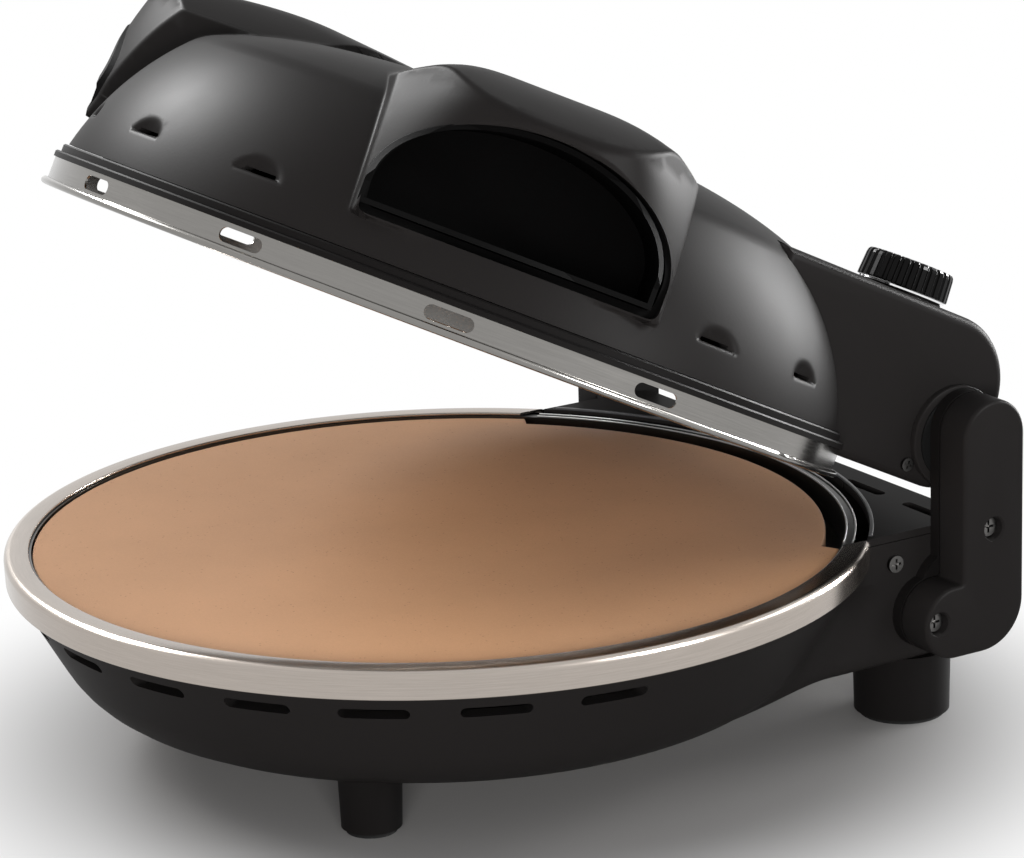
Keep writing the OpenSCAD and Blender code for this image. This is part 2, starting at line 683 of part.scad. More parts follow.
// One hood, drawn towards +X from the lid's axis, thinned by w.
module hood_form(w) {
    low = dome_low_z + 8;
    side_drop = hood_side_top - mouth_low_z;
    crest_rise = hood_crest_z - hood_side_top;
    crest_arc = (pow(hood_half_w, 2) + pow(crest_rise, 2)) / (2 * crest_rise);
    cheek_rise = atan(cos(hood_cheek_turn) * (hood_foot - hood_side_reach) / side_drop);
    cheek_at = (hood_side_reach * cos(hood_cheek_turn) + hood_half_w * sin(hood_cheek_turn)) * cos(cheek_rise)
        + hood_side_top * sin(cheek_rise);
    visor_z = hood_side_top + 0.5;
    reach = hood_tip - hood_foot;
    rise = mouth_top_z - mouth_low_z;
    intersection() {
        rotate([90, 0, 90]) linear_extrude(hood_tip + 10) intersection() {
            translate([-hood_half_w + w, low]) square([2 * (hood_half_w - w), hood_crest_z]);
            translate([0, hood_crest_z - crest_arc]) circle(r = crest_arc - w, $fn = 180);
        }
        rotate([90, 0, 0]) translate([0, 0, -hood_half_w]) linear_extrude(2 * hood_half_w) polygon(concat(
            [[40, low], [40, dome_z - w], [hood_side_reach - 12, hood_crest_z - w],
             [hood_side_reach - 1, hood_crest_z - 0.5 - w], [hood_side_reach + 12, hood_crest_z - 6 - w],
             [hood_side_reach + 32, mouth_top_z + 7.5 - w], [hood_tip - 3 - w, mouth_top_z + 4 - w / 2]],
            [for (p = [[1, 1], [0.64, 0.88], [0.42, 0.67], [0.27, 0.45], [0, 0.18], [0, 0]])
                [hood_foot + p[0] * reach - w, mouth_low_z + p[1] * rise]],
            [[hood_foot - 2 - w, low]]));
        translate([hood_tip - hood_visor_r, 0, low]) cylinder(h = hood_crest_z,
            r1 = hood_visor_r + (visor_z - low) * hood_visor_flare - w,
            r2 = hood_visor_r + (visor_z - low - hood_crest_z) * hood_visor_flare - w);
        for (side = [0, 1]) mirror([0, side, 0]) rotate([0, -cheek_rise, hood_cheek_turn])
            translate([cheek_at - w - ring_d, -ring_d, -ring_d]) cube([ring_d, 2 * ring_d, 2 * ring_d]);
    }
}

// The finger mouth's outline as seen along the hood, thinned by w.
module mouth_outline(w) {
    square_top = mouth_top_z - mouth_round_h;
    intersection() {
        union() {
            translate([0, square_top]) scale([mouth_half_w - w, mouth_round_h - w]) circle(r = 1);
            translate([-mouth_half_w + w, mouth_low_z])
                square([2 * (mouth_half_w - w), square_top - mouth_low_z]);
        }
        translate([-mouth_half_w, mouth_low_z + w]) square([2 * mouth_half_w, mouth_top_z]);
    }
}

module at_hoods() { for (side = [0, 1]) mirror([side, 0, 0]) rotate([0, 0, -90 + hood_angle]) children(); }

module lid_dome() {
    color([0.17, 0.16, 0.16]) on_lid() difference() {
        union() {
            difference() {
                union() {
                    rotate_extrude() dome_profile(0);
                    at_hoods() hood_form(0);
                }
                rotate_extrude() dome_profile(dome_wall);
                at_hoods() hood_form(dome_wall);
            }
            intersection() {
                for (p = lid_posts) translate([p[0], p[1], reflector_z + 1 + snug])
                    cylinder(d = 9, h = dome_z);
                rotate_extrude() dome_profile(dome_wall / 2);
            }
        }
        at_hoods() translate([pocket_back - 4, 0, 0]) rotate([90, 0, 90]) linear_extrude(80) mouth_outline(0);
        translate([-house_half - snug, house_cut_y, 0])
            cube([2 * (house_half + snug), ring_r, house_top_z + 0.2]);
        for (p = lid_posts) translate([p[0], p[1], reflector_z])
            cylinder(d = 3, h = 14);
        for (a = vent_angles, side = [0, 1]) mirror([side, 0, 0]) rotate([0, 0, -90 + a])
            translate([dome_r - 20, -6, 33]) cube([30, 12, 3.5]);
    }
}

module lid_rim() {
    step = 2.2;
    edge = 0.6;
    color([0.13, 0.12, 0.12]) on_lid() difference() {
        rotate_extrude() polygon([[rim_in_r, rim_low_z], [rim_r, rim_low_z], [rim_r, rim_mid_z - edge],
            [rim_r - edge, rim_mid_z], [rim_r - step, rim_mid_z], [rim_r - step, rim_top_z - edge],
            [rim_r - step - edge, rim_top_z], [rim_in_r, rim_top_z]]);
        rear_gap(house_half + 2 * play);
    }
}

module lid_skirt() {
    s = sheet * 0.7;
    color([0.8, 0.8, 0.82]) on_lid() difference() {
        rotate_extrude() union() {
            polygon([[skirt_r - s, bead_r], [skirt_r, bead_r], [skirt_r, skirt_h], [rim_in_r + 1, skirt_h],
                [rim_in_r + 1, skirt_h - s], [skirt_r - s, skirt_h - s]]);
            translate([lid_r - bead_r, bead_r]) circle(r = bead_r, $fn = 32);
        }
        for (i = [-3:3]) rotate([0, 0, -90 + skirt_slot_turn + i * skirt_slot_step]) translate([skirt_r - 6, 0, skirt_h * 0.6])
            rotate([90, 0, 90]) linear_extrude(12) obround(skirt_slot_l, 5.6);
        rear_gap(house_half + 2 * play);
    }
}

// The moulded cup behind a hood's mouth.
module hood_pocket() {
    intersection() {
        difference() {
            translate([pocket_back, 0, 0]) rotate([90, 0, 90]) linear_extrude(70) mouth_outline(snug);
            translate([pocket_back + pocket_wall, 0, 0]) rotate([90, 0, 90]) linear_extrude(70)
                mouth_outline(snug + pocket_wall);
        }
        union() {
            rotate_extrude() dome_profile(0);
            hood_form(0.3);
        }
    }
}

module hood_pocket_right() {
    color([0.05, 0.05, 0.05]) on_lid() rotate([0, 0, -90 + hood_angle]) hood_pocket();
}
module hood_pocket_left() {
    color([0.05, 0.05, 0.05]) on_lid() mirror([1, 0, 0]) rotate([0, 0, -90 + hood_angle]) hood_pocket();
}

module upper_reflector() {
    s = pan_sheet;
    top = reflector_z;
    low = skirt_h + 1.3;
    color([0.7, 0.7, 0.71]) on_lid() difference() {
        rotate_extrude() polygon([[0, top], [reflector_r, top], [rim_in_r - 8, low], [rim_in_r - 0.2, low],
            [rim_in_r - 0.2, low + s], [rim_in_r - 8 + s, low + s], [reflector_r, top + s], [0, top + s]]);
        translate([-house_half - 1, reflector_r, 0]) cube([2 * house_half + 2, 60, reflector_z - 12]);
        for (p = lid_posts) translate([p[0], p[1], top - 1])
            cylinder(d = 3.4, h = 4);
        for (x = element_legs) translate([x, 0, upper_element_z]) rotate([-90, 0, 0])
            cylinder(d = element_d + 2, h = ring_r);
    }
}

module heat_shield() {
    color([0.6, 0.6, 0.6]) on_lid() difference() {
        translate([0, 0, shield_z]) cylinder(r = pocket_back - 6, h = pan_sheet);
        for (p = lid_posts) translate([p[0], p[1], 0])
            cylinder(d = 9 + 2 * snug, h = 100);
    }
}

module reflector_screws() {
    color([0.7, 0.7, 0.72]) on_lid() for (p = lid_posts)
        translate([p[0], p[1], reflector_z - snug]) rotate([180, 0, 0]) screw(6, 2.2, 2.9, 10);
}

module upper_element() {
    color([0.32, 0.3, 0.3]) on_lid() translate([0, 0, upper_element_z]) heater(leg_y - 8);
}

module upper_clips() {
    color([0.6, 0.6, 0.6]) on_lid() translate([0, 0, upper_element_z])
        for (a = clip_angles, r = [element_in_r, element_out_r])
            rotate([0, 0, a]) translate([r, 0, 0]) rotate([180, 0, 0]) clip(reflector_z - upper_element_z);
}

module upper_limiter() {
    color([0.75, 0.73, 0.68]) on_lid() translate([0, 30, reflector_z + pan_sheet + snug]) {
        cylinder(d = 16, h = 10);
        translate([-12, -4, 0]) cube([24, 8, 1.5]);
    }
}

// ---- hinge housing ----

module house_outline(w) {
    front = house_cut_y + play;
    translate([house_back_y - house_top_r, house_top_z - house_top_r]) circle(r = house_top_r - w);
    translate([house_back_y - house_low_r, house_low_z + house_low_r]) circle(r = house_low_r - w);
    translate([front, house_low_z + w]) square([house_back_y - house_low_r - front, house_low_r]);
    translate([front, house_low_z + house_low_r]) square([house_back_y - w - front, house_top_z - house_top_r
        - house_low_z - house_low_r]);
    translate([front, house_low_z + house_low_r]) square([house_back_y - house_top_r - front,
        house_top_z - w - house_low_z - house_low_r]);
}

module hinge_housing() {
    inner_half = house_half - house_wall;
    cover_back = house_back_y - house_low_r;
    color([0.16, 0.15, 0.15]) on_lid() difference() {
        union() {
            difference() {
                plate_x(-house_half, house_half) house_outline(0);
                plate_x(-inner_half, inner_half) house_outline(house_wall);
                rotate_extrude() translate([0, -1]) square([dome_r - dome_wall - play, dome_low_z + 6]);
                rotate_extrude() dome_profile(dome_wall + play);
                translate([-inner_half, 0, 0])
                    cube([2 * inner_half, cover_back, house_low_z + house_wall + eps]);
            }
            both_sides() {
                translate([0, hinge_y, hinge_lid_z]) tube_x(hub_bore_d + 8, hub_face - hub_depth, house_half);
                translate([0, hinge_y, hinge_lid_z]) tube_x(hub_d, house_half - eps, hub_face);
                translate([knob_x, knob_y, house_top_z - 1])
                    cylinder(d = collar_d, h = collar_z - house_top_z + 1);
            }
        }
        both_sides() {
            translate([0, hinge_y, hinge_lid_z]) tube_x(hub_bore_d, hub_face - hub_depth - 1, hub_face + 1);
            translate([knob_x, knob_y, 60]) cylinder(d = shaft_d + 4, h = 40);
            translate([lens_x, knob_y, 60]) cylinder(d = lens_d, h = 40);
            translate([0, house_screw_at[0], house_screw_at[1]]) tube_x(3.2, house_half - 7, house_half + 2);
        }
    }
}

module housing_cover() {
    inner_half = house_half - house_wall - play;
    front = house_cover_front;
    cover_back = house_back_y - house_low_r - play;
    color([0.12, 0.12, 0.12]) on_lid() difference() {
        union() {
            translate([-inner_half, front, house_low_z])
                cube([2 * inner_half, cover_back - front, house_wall]);
            both_sides() translate([inner_half - 3, house_screw_at[0] - 6, house_low_z])
                cube([3, 12, house_screw_at[1] - house_low_z + 6]);
        }
        both_sides() translate([0, house_screw_at[0], house_screw_at[1]])
            tube_x(3, house_half - 10, house_half);
        cylinder(r = rim_in_r + 0.4, h = 40);
    }
}

module housing_screws() {
    color([0.5, 0.5, 0.5]) on_lid() both_sides()
        translate([house_half + snug, house_screw_at[0], house_screw_at[1]]) rotate([0, 90, 0])
            screw(5.4, 1.4, 2.8, 6.5);
}

module lid_wiring() {
    inside_x = hub_face - hub_depth - 6;
    tail_y = leg_y - 7.7;
    color([0.75, 0.72, 0.66]) on_lid() for (i = [0, 1]) {
        side = 2 * i - 1;
        wire(3, [[element_legs[i], tail_y, upper_element_z], [element_legs[i], tail_y + 4.7, upper_element_z],
            [side * 40, tail_y + 4.7, upper_element_z + 19], [side * inside_x, hinge_y, hinge_lid_z],
            [side * (inside_x + 30), hinge_y, hinge_lid_z]]);
    }
}

// ---- controls ----

module thermostat() {
    color([0.8, 0.78, 0.7]) on_lid() translate([knob_x, knob_y, control_top - 1]) difference() {
        union() {
            translate([-thermostat_size[0] / 2, -thermostat_size[1] / 2, -thermostat_size[2]])
                cube(thermostat_size);
            translate([0, 0, -eps]) cylinder(d = shaft_d + 6, h = 1 + 2 * eps);
            translate([-thermostat_size[0] / 2, -5, -eps]) cube([thermostat_size[0], 10, 1.8]);
        }
        translate([0, 0, -12]) cylinder(d = shaft_d + 2 * run_fit, h = 30);
    }
}

module timer() {
    color([0.82, 0.8, 0.74]) on_lid() translate([-knob_x, knob_y, control_top - 1]) difference() {
        union() {
            translate([0, 0, -timer_h]) cylinder(d = timer_d, h = timer_h);
            translate([-15, -5, -eps]) cube([30, 10, 1.8]);
        }
        translate([0, 0, -14]) cylinder(d = shaft_d + 2 * run_fit, h = 30);
    }
}

module control_shaft() {
    flat = 1;
    translate([0, knob_y, control_top - 11]) {
        cylinder(d = shaft_d, h = collar_z - control_top + 11);
        difference() {
            cylinder(d = shaft_d, h = knob_z + knob_h * 0.6 - control_top + 11);
            translate([shaft_d / 2 - flat, -shaft_d, collar_z - control_top + 11])
                cube([shaft_d, 2 * shaft_d, knob_h]);
        }
    }
}

module thermostat_shaft() { color([0.75, 0.75, 0.77]) on_lid() translate([knob_x, 0, 0]) control_shaft(); }
module timer_shaft() { color([0.75, 0.75, 0.77]) on_lid() translate([-knob_x, 0, 0]) control_shaft(); }

module knob() {
    ribs = 28;
    taper = 0.8;
    translate([0, knob_y, knob_z]) difference() {
        union() {
            cylinder(d1 = knob_d, d2 = knob_d - taper, h = knob_h - 1);
            translate([0, 0, knob_h - 1 - eps]) cylinder(d1 = knob_d - taper, d2 = knob_d - taper - 2, h = 1);
            translate([-1.2, -knob_d / 2 + 3, knob_h - eps]) cube([2.4, knob_d / 2 - 5, 0.8]);
        }
        for (i = [0:ribs - 1]) rotate([0, 0, i * 360 / ribs]) translate([knob_d / 2 + 0.3, 0, 1.5])
            cylinder(r = 1.1, h = knob_h, $fn = 24);
        translate([0, 0, -1]) cylinder(d = shaft_d + 2 * snug, h = knob_h * 0.6 + 1.2);
    }
}

module thermostat_knob() { color([0.06, 0.06, 0.06]) on_lid() translate([knob_x, 0, 0]) knob(); }
module timer_knob() { color([0.06, 0.06, 0.06]) on_lid() translate([-knob_x, 0, 0]) knob(); }

module trim() {
    translate([0, knob_y, collar_z + snug / 2]) difference() {
        cylinder(d = knob_d - 1.5, h = trim_t);
        translate([0, 0, -1]) cylinder(d = shaft_d + 4, h = trim_t + 2);
    }
}

module thermostat_trim() { color([0.85, 0.85, 0.87]) on_lid() translate([knob_x, 0, 0]) trim(); }
module timer_trim() { color([0.85, 0.85, 0.87]) on_lid() translate([-knob_x, 0, 0]) trim(); }

module lens() {
    translate([0, knob_y, house_top_z + snug]) {
        translate([0, 0, -house_wall - 2]) cylinder(d = lens_d - 2 * snug, h = house_wall + 2.2);
        cylinder(d = lens_d + 2, h = 0.9);
        translate([0, 0, 0.8]) cylinder(d1 = lens_d - 1, d2 = lens_d - 4, h = 1.2);
    }
}

module power_lens() { color([0.8, 0.1, 0.05]) on_lid() translate([lens_x, 0, 0]) lens(); }
module ready_lens() { color([0.1, 0.7, 0.2]) on_lid() translate([-lens_x, 0, 0]) lens(); }

module lamp_holders() {
    lens_low = house_top_z - house_wall - 2 + snug;
    color([0.3, 0.3, 0.3]) on_lid() both_sides() translate([lens_x, knob_y, lens_low - 16]) difference() {
        cylinder(d = lens_d + 3, h = 17);
        translate([0, 0, 2]) cylinder(d = lens_d - 2, h = 20);
        translate([0, 0, 15.9]) cylinder(d = lens_d + 0.2, h = 20);
    }
}

base_bowl();
base_ring();
deck_cover();
lower_pan();
pan_screws();
lower_element();
lower_clips();
baking_stone();
lower_limiter();
terminal_block();
base_wiring();
cord_gland();
deck_screws();
front_foot_right();
front_foot_left();
rear_foot_right();
rear_foot_left();
foot_pads();
foot_screws();
arm_right();
arm_left();
arm_liner_right();
arm_liner_left();
arm_screws();
hinge_pin_right();
hinge_pin_left();
friction_washers();
hinge_bush_right();
hinge_bush_left();
lid_dome();
lid_rim();
lid_skirt();
hood_pocket_right();
hood_pocket_left();
upper_reflector();
heat_shield();
reflector_screws();
upper_element();
upper_clips();
upper_limiter();
hinge_housing();
housing_cover();
housing_screws();
lid_wiring();
thermostat();
timer();
thermostat_shaft();
timer_shaft();
thermostat_knob();
timer_knob();
thermostat_trim();
timer_trim();
power_lens();
ready_lens();
lamp_holders();
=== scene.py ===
# Looks for the electric pizza maker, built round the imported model.
# Shapes are drawn in millimetres and placed in metres.
import json
import math
import bmesh
import bpy
import numpy as np
from mathutils import Matrix, Vector


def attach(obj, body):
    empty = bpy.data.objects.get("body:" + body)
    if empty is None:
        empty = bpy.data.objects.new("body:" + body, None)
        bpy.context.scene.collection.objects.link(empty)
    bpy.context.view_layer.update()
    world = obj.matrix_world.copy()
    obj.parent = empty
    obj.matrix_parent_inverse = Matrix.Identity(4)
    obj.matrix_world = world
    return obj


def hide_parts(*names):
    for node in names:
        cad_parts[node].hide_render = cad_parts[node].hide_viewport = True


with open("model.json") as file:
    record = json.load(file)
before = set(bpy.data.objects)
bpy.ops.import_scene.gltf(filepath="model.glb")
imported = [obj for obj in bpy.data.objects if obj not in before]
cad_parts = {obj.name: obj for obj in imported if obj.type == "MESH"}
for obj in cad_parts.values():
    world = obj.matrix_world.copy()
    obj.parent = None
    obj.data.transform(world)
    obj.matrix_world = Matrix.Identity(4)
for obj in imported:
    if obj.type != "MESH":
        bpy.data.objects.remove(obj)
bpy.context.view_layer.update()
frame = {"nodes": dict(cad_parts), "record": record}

# ---- places: the base's own frame has its ring's axis at the origin, the lid's its lower edge at z = 0 ----

BACK_SHIFT = -11.823
HINGE_Y, HINGE_Z, HINGE_LID_Z = 172.0, 119.0, 32.5
LID_OPEN = math.radians(26.3)
TO_METRES = Matrix.Scale(0.001, 4)
ON_BASE = TO_METRES @ Matrix.Translation((0, BACK_SHIFT, 0))
ON_LID = (TO_METRES @ Matrix.Translation((0, HINGE_Y + BACK_SHIFT, HINGE_Z))
          @ Matrix.Rotation(-LID_OPEN, 4, "X") @ Matrix.Translation((0, -HINGE_Y, -HINGE_LID_Z)))
FLIP_X = Matrix.Scale(-1, 4, (1, 0, 0))

# ---- shader node helpers ----


def new_group(name, inputs, outputs):
    """An empty shader group with float inputs {name: default} and outputs; returns (tree, entry, exit)."""
    tree = bpy.data.node_groups.new(name, "ShaderNodeTree")
    for label, value in inputs.items():
        kind = "NodeSocketVector" if label == "Vector" else "NodeSocketFloat"
        socket = tree.interface.new_socket(label, in_out="INPUT", socket_type=kind)
        if label != "Vector":
            socket.default_value = value
    for label in outputs:
        tree.interface.new_socket(label, in_out="OUTPUT", socket_type="NodeSocketFloat")
    return tree, tree.nodes.new("NodeGroupInput"), tree.nodes.new("NodeGroupOutput")


def maths(tree, operation, a, b=None):
    node = tree.nodes.new("ShaderNodeMath")
    node.operation = operation
    for socket, value in zip(node.inputs, (a, b)):
        if value is None:
            continue
        if isinstance(value, (int, float)):
            socket.default_value = value
        else:
            tree.links.new(value, socket)
    return node.outputs[0]


def noise(tree, vector, scale, detail=2.0, roughness=0.5):
    node = tree.nodes.new("ShaderNodeTexNoise")
    node.inputs["Detail"].default_value = detail
    node.inputs["Roughness"].default_value = roughness
    if isinstance(scale, (int, float)):
        node.inputs["Scale"].default_value = scale
    else:
        tree.links.new(scale, node.inputs["Scale"])
    tree.links.new(vector, node.inputs["Vector"])
    return node.outputs["Fac"]


def start_material(name, colour, roughness, metallic=0.0):
    """A plain material; returns it with its tree, its shader and the Object coordinates."""
    mat = bpy.data.materials.new(name)
    mat.use_nodes = True
    mat.diffuse_color = (*colour, 1)
    tree = mat.node_tree
    shader = tree.nodes["Principled BSDF"]
    shader.inputs["Base Color"].default_value = (*colour, 1)
    shader.inputs["Roughness"].default_value = roughness
    shader.inputs["Metallic"].default_value = metallic
    coord = tree.nodes.new("ShaderNodeTexCoord")
    return mat, tree, shader, coord.outputs["Object"]


def use_group(tree, group, vector, **values):
    node = tree.nodes.new("ShaderNodeGroup")
    node.node_tree = group
    tree.links.new(vector, node.inputs["Vector"])
    for label, value in values.items():
        node.inputs[label.replace("_", " ")].default_value = value
    return node


def ramp(tree, value, low, high):
    """A colour between low and high as value goes from 0 to 1."""
    node = tree.nodes.new("ShaderNodeMix")
    node.data_type = "RGBA"
    node.inputs["A"].default_value, node.inputs["B"].default_value = (*low, 1), (*high, 1)
    tree.links.new(value, node.inputs["Factor"])
    return node.outputs["Result"]


def add_bump(tree, shader, height, depth):
    node = tree.nodes.new("ShaderNodeBump")
    node.inputs["Distance"].default_value = depth
    node.inputs["Strength"].default_value = 1.0
    tree.links.new(height, node.inputs["Height"])
    tree.links.new(node.outputs["Normal"], shader.inputs["Normal"])


# ---- camera, light and floor ----

CAMERA_PLACE = (1.342304, -0.801914, 0.577508)
CAMERA_LENS, SENSOR_WIDTH = 142.0, 36.0
WORLD_LIGHT = 0.3
FLOOR_COLOUR = (0.36, 0.348, 0.34)
SHADOW_CENTRE, SHADOW_FROM, SHADOW_TO = (0.015, 0.01, 0), 0.14, 0.28

# Each lamp's name, place, target, size, power in watts, and the kind of surface it is kept to.
LAMPS = (
    ("front", (-1.3, -1.0, 1.5), (0, 0, 0.1), (0.8, 0.8), 18, None),
    ("fill", (1.5, -0.9, 0.36), (0, 0, 0.12), (0.8, 0.4), 27, "matt"),
    ("back", (0.5, 1.7, 0.9), (0.05, 0.05, 0.2), (0.8, 0.6), 8, None),
    ("left_box", (-1.57, -0.3, 1.38), (0, 0, 0.2), (0.55, 0.5), 115, "gloss"),
    ("back_box", (0.0, 1.72, 0.4), (0.05, 0.05, 0.2), (0.5, 0.7), 76, "gloss"),
    ("side_box", (1.75, 0.85, 0.75), (0.1, 0.1, 0.15), (0.5, 0.8), 80, "gloss"),
)


def studio_camera():
    """The photograph's viewing angle, in radians: azimuth from the front, elevation, roll about the view."""
    azimuth, elevation, roll = 1.019, 0.283, -0.029
    back = Vector((math.sin(azimuth) * math.cos(elevation), -math.cos(azimuth) * math.cos(elevation),
                   math.sin(elevation)))
    right = (-back).cross(Vector((0, 0, 1))).normalized()
    up = right.cross(-back)
    across = math.cos(roll) * right + math.sin(roll) * up
    upward = math.cos(roll) * up - math.sin(roll) * right
    data = bpy.data.cameras.new("camera")
    data.lens, data.sensor_width = CAMERA_LENS, SENSOR_WIDTH
    data.clip_start, data.clip_end = 0.05, 40
    camera = bpy.data.objects.new("camera", data)
    bpy.context.scene.collection.objects.link(camera)
    turn = Matrix((across, upward, back)).transposed().to_4x4()
    camera.matrix_world = Matrix.Translation(CAMERA_PLACE) @ turn
    bpy.context.scene.camera = camera


def area_light(name, place, target, size, power, only):
    """A soft box. One that is only "gloss" just shows in shiny surfaces, only "matt" never shows there."""
    data = bpy.data.lights.new(name, "AREA")
    data.shape, data.size, data.size_y = "RECTANGLE", size[0], size[1]
    data.energy = power
    lamp = bpy.data.objects.new(name, data)
    lamp.location = place
    lamp.visible_diffuse, lamp.visible_glossy = only != "gloss", only != "matt"
    lamp.rotation_euler = (Vector(target) - Vector(place)).to_track_quat("-Z", "Y").to_euler()
    bpy.context.scene.collection.objects.link(lamp)


def background_rays(tree):
    """1 for the rays that see the background: the camera's, and those in gloss and glass."""
    path = tree.nodes.new("ShaderNodeLightPath")
    direct = maths(tree, "MAXIMUM", path.outputs["Is Camera Ray"], path.outputs["Is Glossy Ray"])
    return maths(tree, "MAXIMUM", direct, path.outputs["Is Transmission Ray"])


def mix_shaders(tree, share, plain, seen, out):
    """Sends out plain where share is 0 and seen where it is 1."""
    mix = tree.nodes.new("ShaderNodeMixShader")
    for socket, value in zip(mix.inputs, (share, plain, seen)):
        tree.links.new(value, socket)
    tree.links.new(mix.outputs[0], out)


def studio_world():
    """A pale sky that lights softly and is seen as white."""
    world = bpy.data.worlds.new("studio")
    bpy.context.scene.world = world
    world.use_nodes = True
    tree = world.node_tree
    tree.nodes.clear()
    lamp = tree.nodes.new("ShaderNodeBackground")
    lamp.inputs["Color"].default_value = (0.93, 0.96, 1.0, 1)
    lamp.inputs["Strength"].default_value = WORLD_LIGHT
    seen = tree.nodes.new("ShaderNodeBackground")
    seen.inputs["Color"].default_value = (1, 1, 1, 1)
    out = tree.nodes.new("ShaderNodeOutputWorld")
    mix_shaders(tree, background_rays(tree), lamp.outputs[0], seen.outputs[0], out.inputs["Surface"])


def pale_floor():
    """A plain floor that keeps the shadow near the object and fades to white round it."""
    bm = bmesh.new()
    bmesh.ops.create_grid(bm, x_segments=1, y_segments=1, size=6)
    mesh = bpy.data.meshes.new("floor")
    bm.to_mesh(mesh)
    bm.free()
    floor = bpy.data.objects.new("floor", mesh)
    bpy.context.scene.collection.objects.link(floor)
    mat, tree, shader, where = start_material("pale_floor", FLOOR_COLOUR, 0.7)
    shader.inputs["Specular IOR Level"].default_value = 0.2
    glow = tree.nodes.new("ShaderNodeEmission")
    length = tree.nodes.new("ShaderNodeVectorMath")
    length.operation = "DISTANCE"
    length.inputs[1].default_value = SHADOW_CENTRE
    fade = tree.nodes.new("ShaderNodeMapRange")
    fade.interpolation_type = "SMOOTHSTEP"
    fade.inputs["From Min"].default_value, fade.inputs["From Max"].default_value = SHADOW_FROM, SHADOW_TO
    tree.links.new(where, length.inputs[0])
    tree.links.new(length.outputs["Value"], fade.inputs["Value"])
    both = maths(tree, "MULTIPLY", fade.outputs["Result"], background_rays(tree))
    out = tree.nodes["Material Output"].inputs["Surface"]
    mix_shaders(tree, both, shader.outputs[0], glow.outputs[0], out)
    mesh.materials.append(mat)


bpy.context.scene.view_settings.view_transform = "Standard"
studio_camera()
studio_world()
for lamp_values in LAMPS:
    area_light(*lamp_values)
pale_floor()

# ---- material groups ----


def make_moulded():
    """Moulded plastic: a fine even grain, and slow patches where the gloss differs a little."""
    tree, entry, out = new_group("moulded_grain", {"Vector": 0, "Grain size": 900.0, "Patchiness": 0.2},
                                 ["Height", "Patch"])
    grain = noise(tree, entry.outputs["Vector"], entry.outputs["Grain size"], 2)
    patch = noise(tree, entry.outputs["Vector"], 22.0, 4, 0.6)
    centred = maths(tree, "MULTIPLY", maths(tree, "SUBTRACT", patch, 0.5), entry.outputs["Patchiness"])
    tree.links.new(grain, out.inputs["Height"])
    tree.links.new(centred, out.inputs["Patch"])
    return tree


def make_turned():
    """Steel brushed round an axis: fine lines that follow the circle, given coordinates about that axis."""
    tree, entry, out = new_group("turned_lines", {"Vector": 0, "Lines": 2600.0, "Drift": 9.0},
                                 ["Lines", "Cloud"])
    lines, drift = entry.outputs["Lines"], entry.outputs["Drift"]
    split = tree.nodes.new("ShaderNodeSeparateXYZ")
    tree.links.new(entry.outputs["Vector"], split.inputs[0])
    x, y, z = split.outputs
    square = maths(tree, "ADD", maths(tree, "MULTIPLY", x, x), maths(tree, "MULTIPLY", y, y))
    radius = maths(tree, "SQRT", square)
    unrolled = tree.nodes.new("ShaderNodeCombineXYZ")
    tree.links.new(maths(tree, "MULTIPLY", radius, lines), unrolled.inputs[0])
    tree.links.new(maths(tree, "MULTIPLY", z, lines), unrolled.inputs[1])
    tree.links.new(maths(tree, "MULTIPLY", maths(tree, "ARCTAN2", y, x), drift), unrolled.inputs[2])
    tree.links.new(noise(tree, unrolled.outputs[0], 1.0, 3, 0.65), out.inputs["Lines"])
    tree.links.new(noise(tree, entry.outputs["Vector"], 14.0, 3, 0.6), out.inputs["Cloud"])
    return tree


def make_fired():
    """Fired clay: fine sandy grit, rare specks, and a slow change of tone."""
    tree, entry, out = new_group("fired_clay", {"Vector": 0, "Grit size": 1500.0}, ["Grit", "Specks", "Tone"])
    where = entry.outputs["Vector"]
    tree.links.new(noise(tree, where, entry.outputs["Grit size"], 3, 0.7), out.inputs["Grit"])
    cell = tree.nodes.new("ShaderNodeTexVoronoi")
    cell.inputs["Scale"].default_value = 420.0
    tree.links.new(where, cell.inputs["Vector"])
    spot = tree.nodes.new("ShaderNodeMapRange")
    spot.inputs["From Min"].default_value, spot.inputs["From Max"].default_value = 0.06, 0.2
    spot.inputs["To Min"].default_value, spot.inputs["To Max"].default_value = 1.0, 0.0
    tree.links.new(cell.outputs["Distance"], spot.inputs["Value"])
    rare = maths(tree, "GREATER_THAN", noise(tree, where, 160.0, 1), 0.56)
    tree.links.new(maths(tree, "MULTIPLY", spot.outputs["Result"], rare), out.inputs["Specks"])
    tree.links.new(noise(tree, where, 9.0, 4, 0.55), out.inputs["Tone"])
    return tree


MOULDED, TURNED, FIRED = make_moulded(), make_turned(), make_fired()

# ---- materials ----


def plastic(name, colour, roughness, grain=900.0, depth=0.00002, patchiness=0.25, shine=0.5):
    mat, tree, shader, where = start_material(name, colour, roughness)
    shader.inputs["Specular IOR Level"].default_value = shine
    group = use_group(tree, MOULDED, where, Grain_size=grain, Patchiness=patchiness)
    lift = maths(tree, "ADD", group.outputs["Patch"], 0.5)
    tree.links.new(ramp(tree, lift, [c * 0.8 for c in colour], [c * 1.2 for c in colour]),
                   shader.inputs["Base Color"])
    tree.links.new(maths(tree, "ADD", group.outputs["Patch"], roughness), shader.inputs["Roughness"])
    add_bump(tree, shader, group.outputs["Height"], depth)
    return mat


LINE_DEPTH, LINE_SPREAD = 0.000004, 0.12


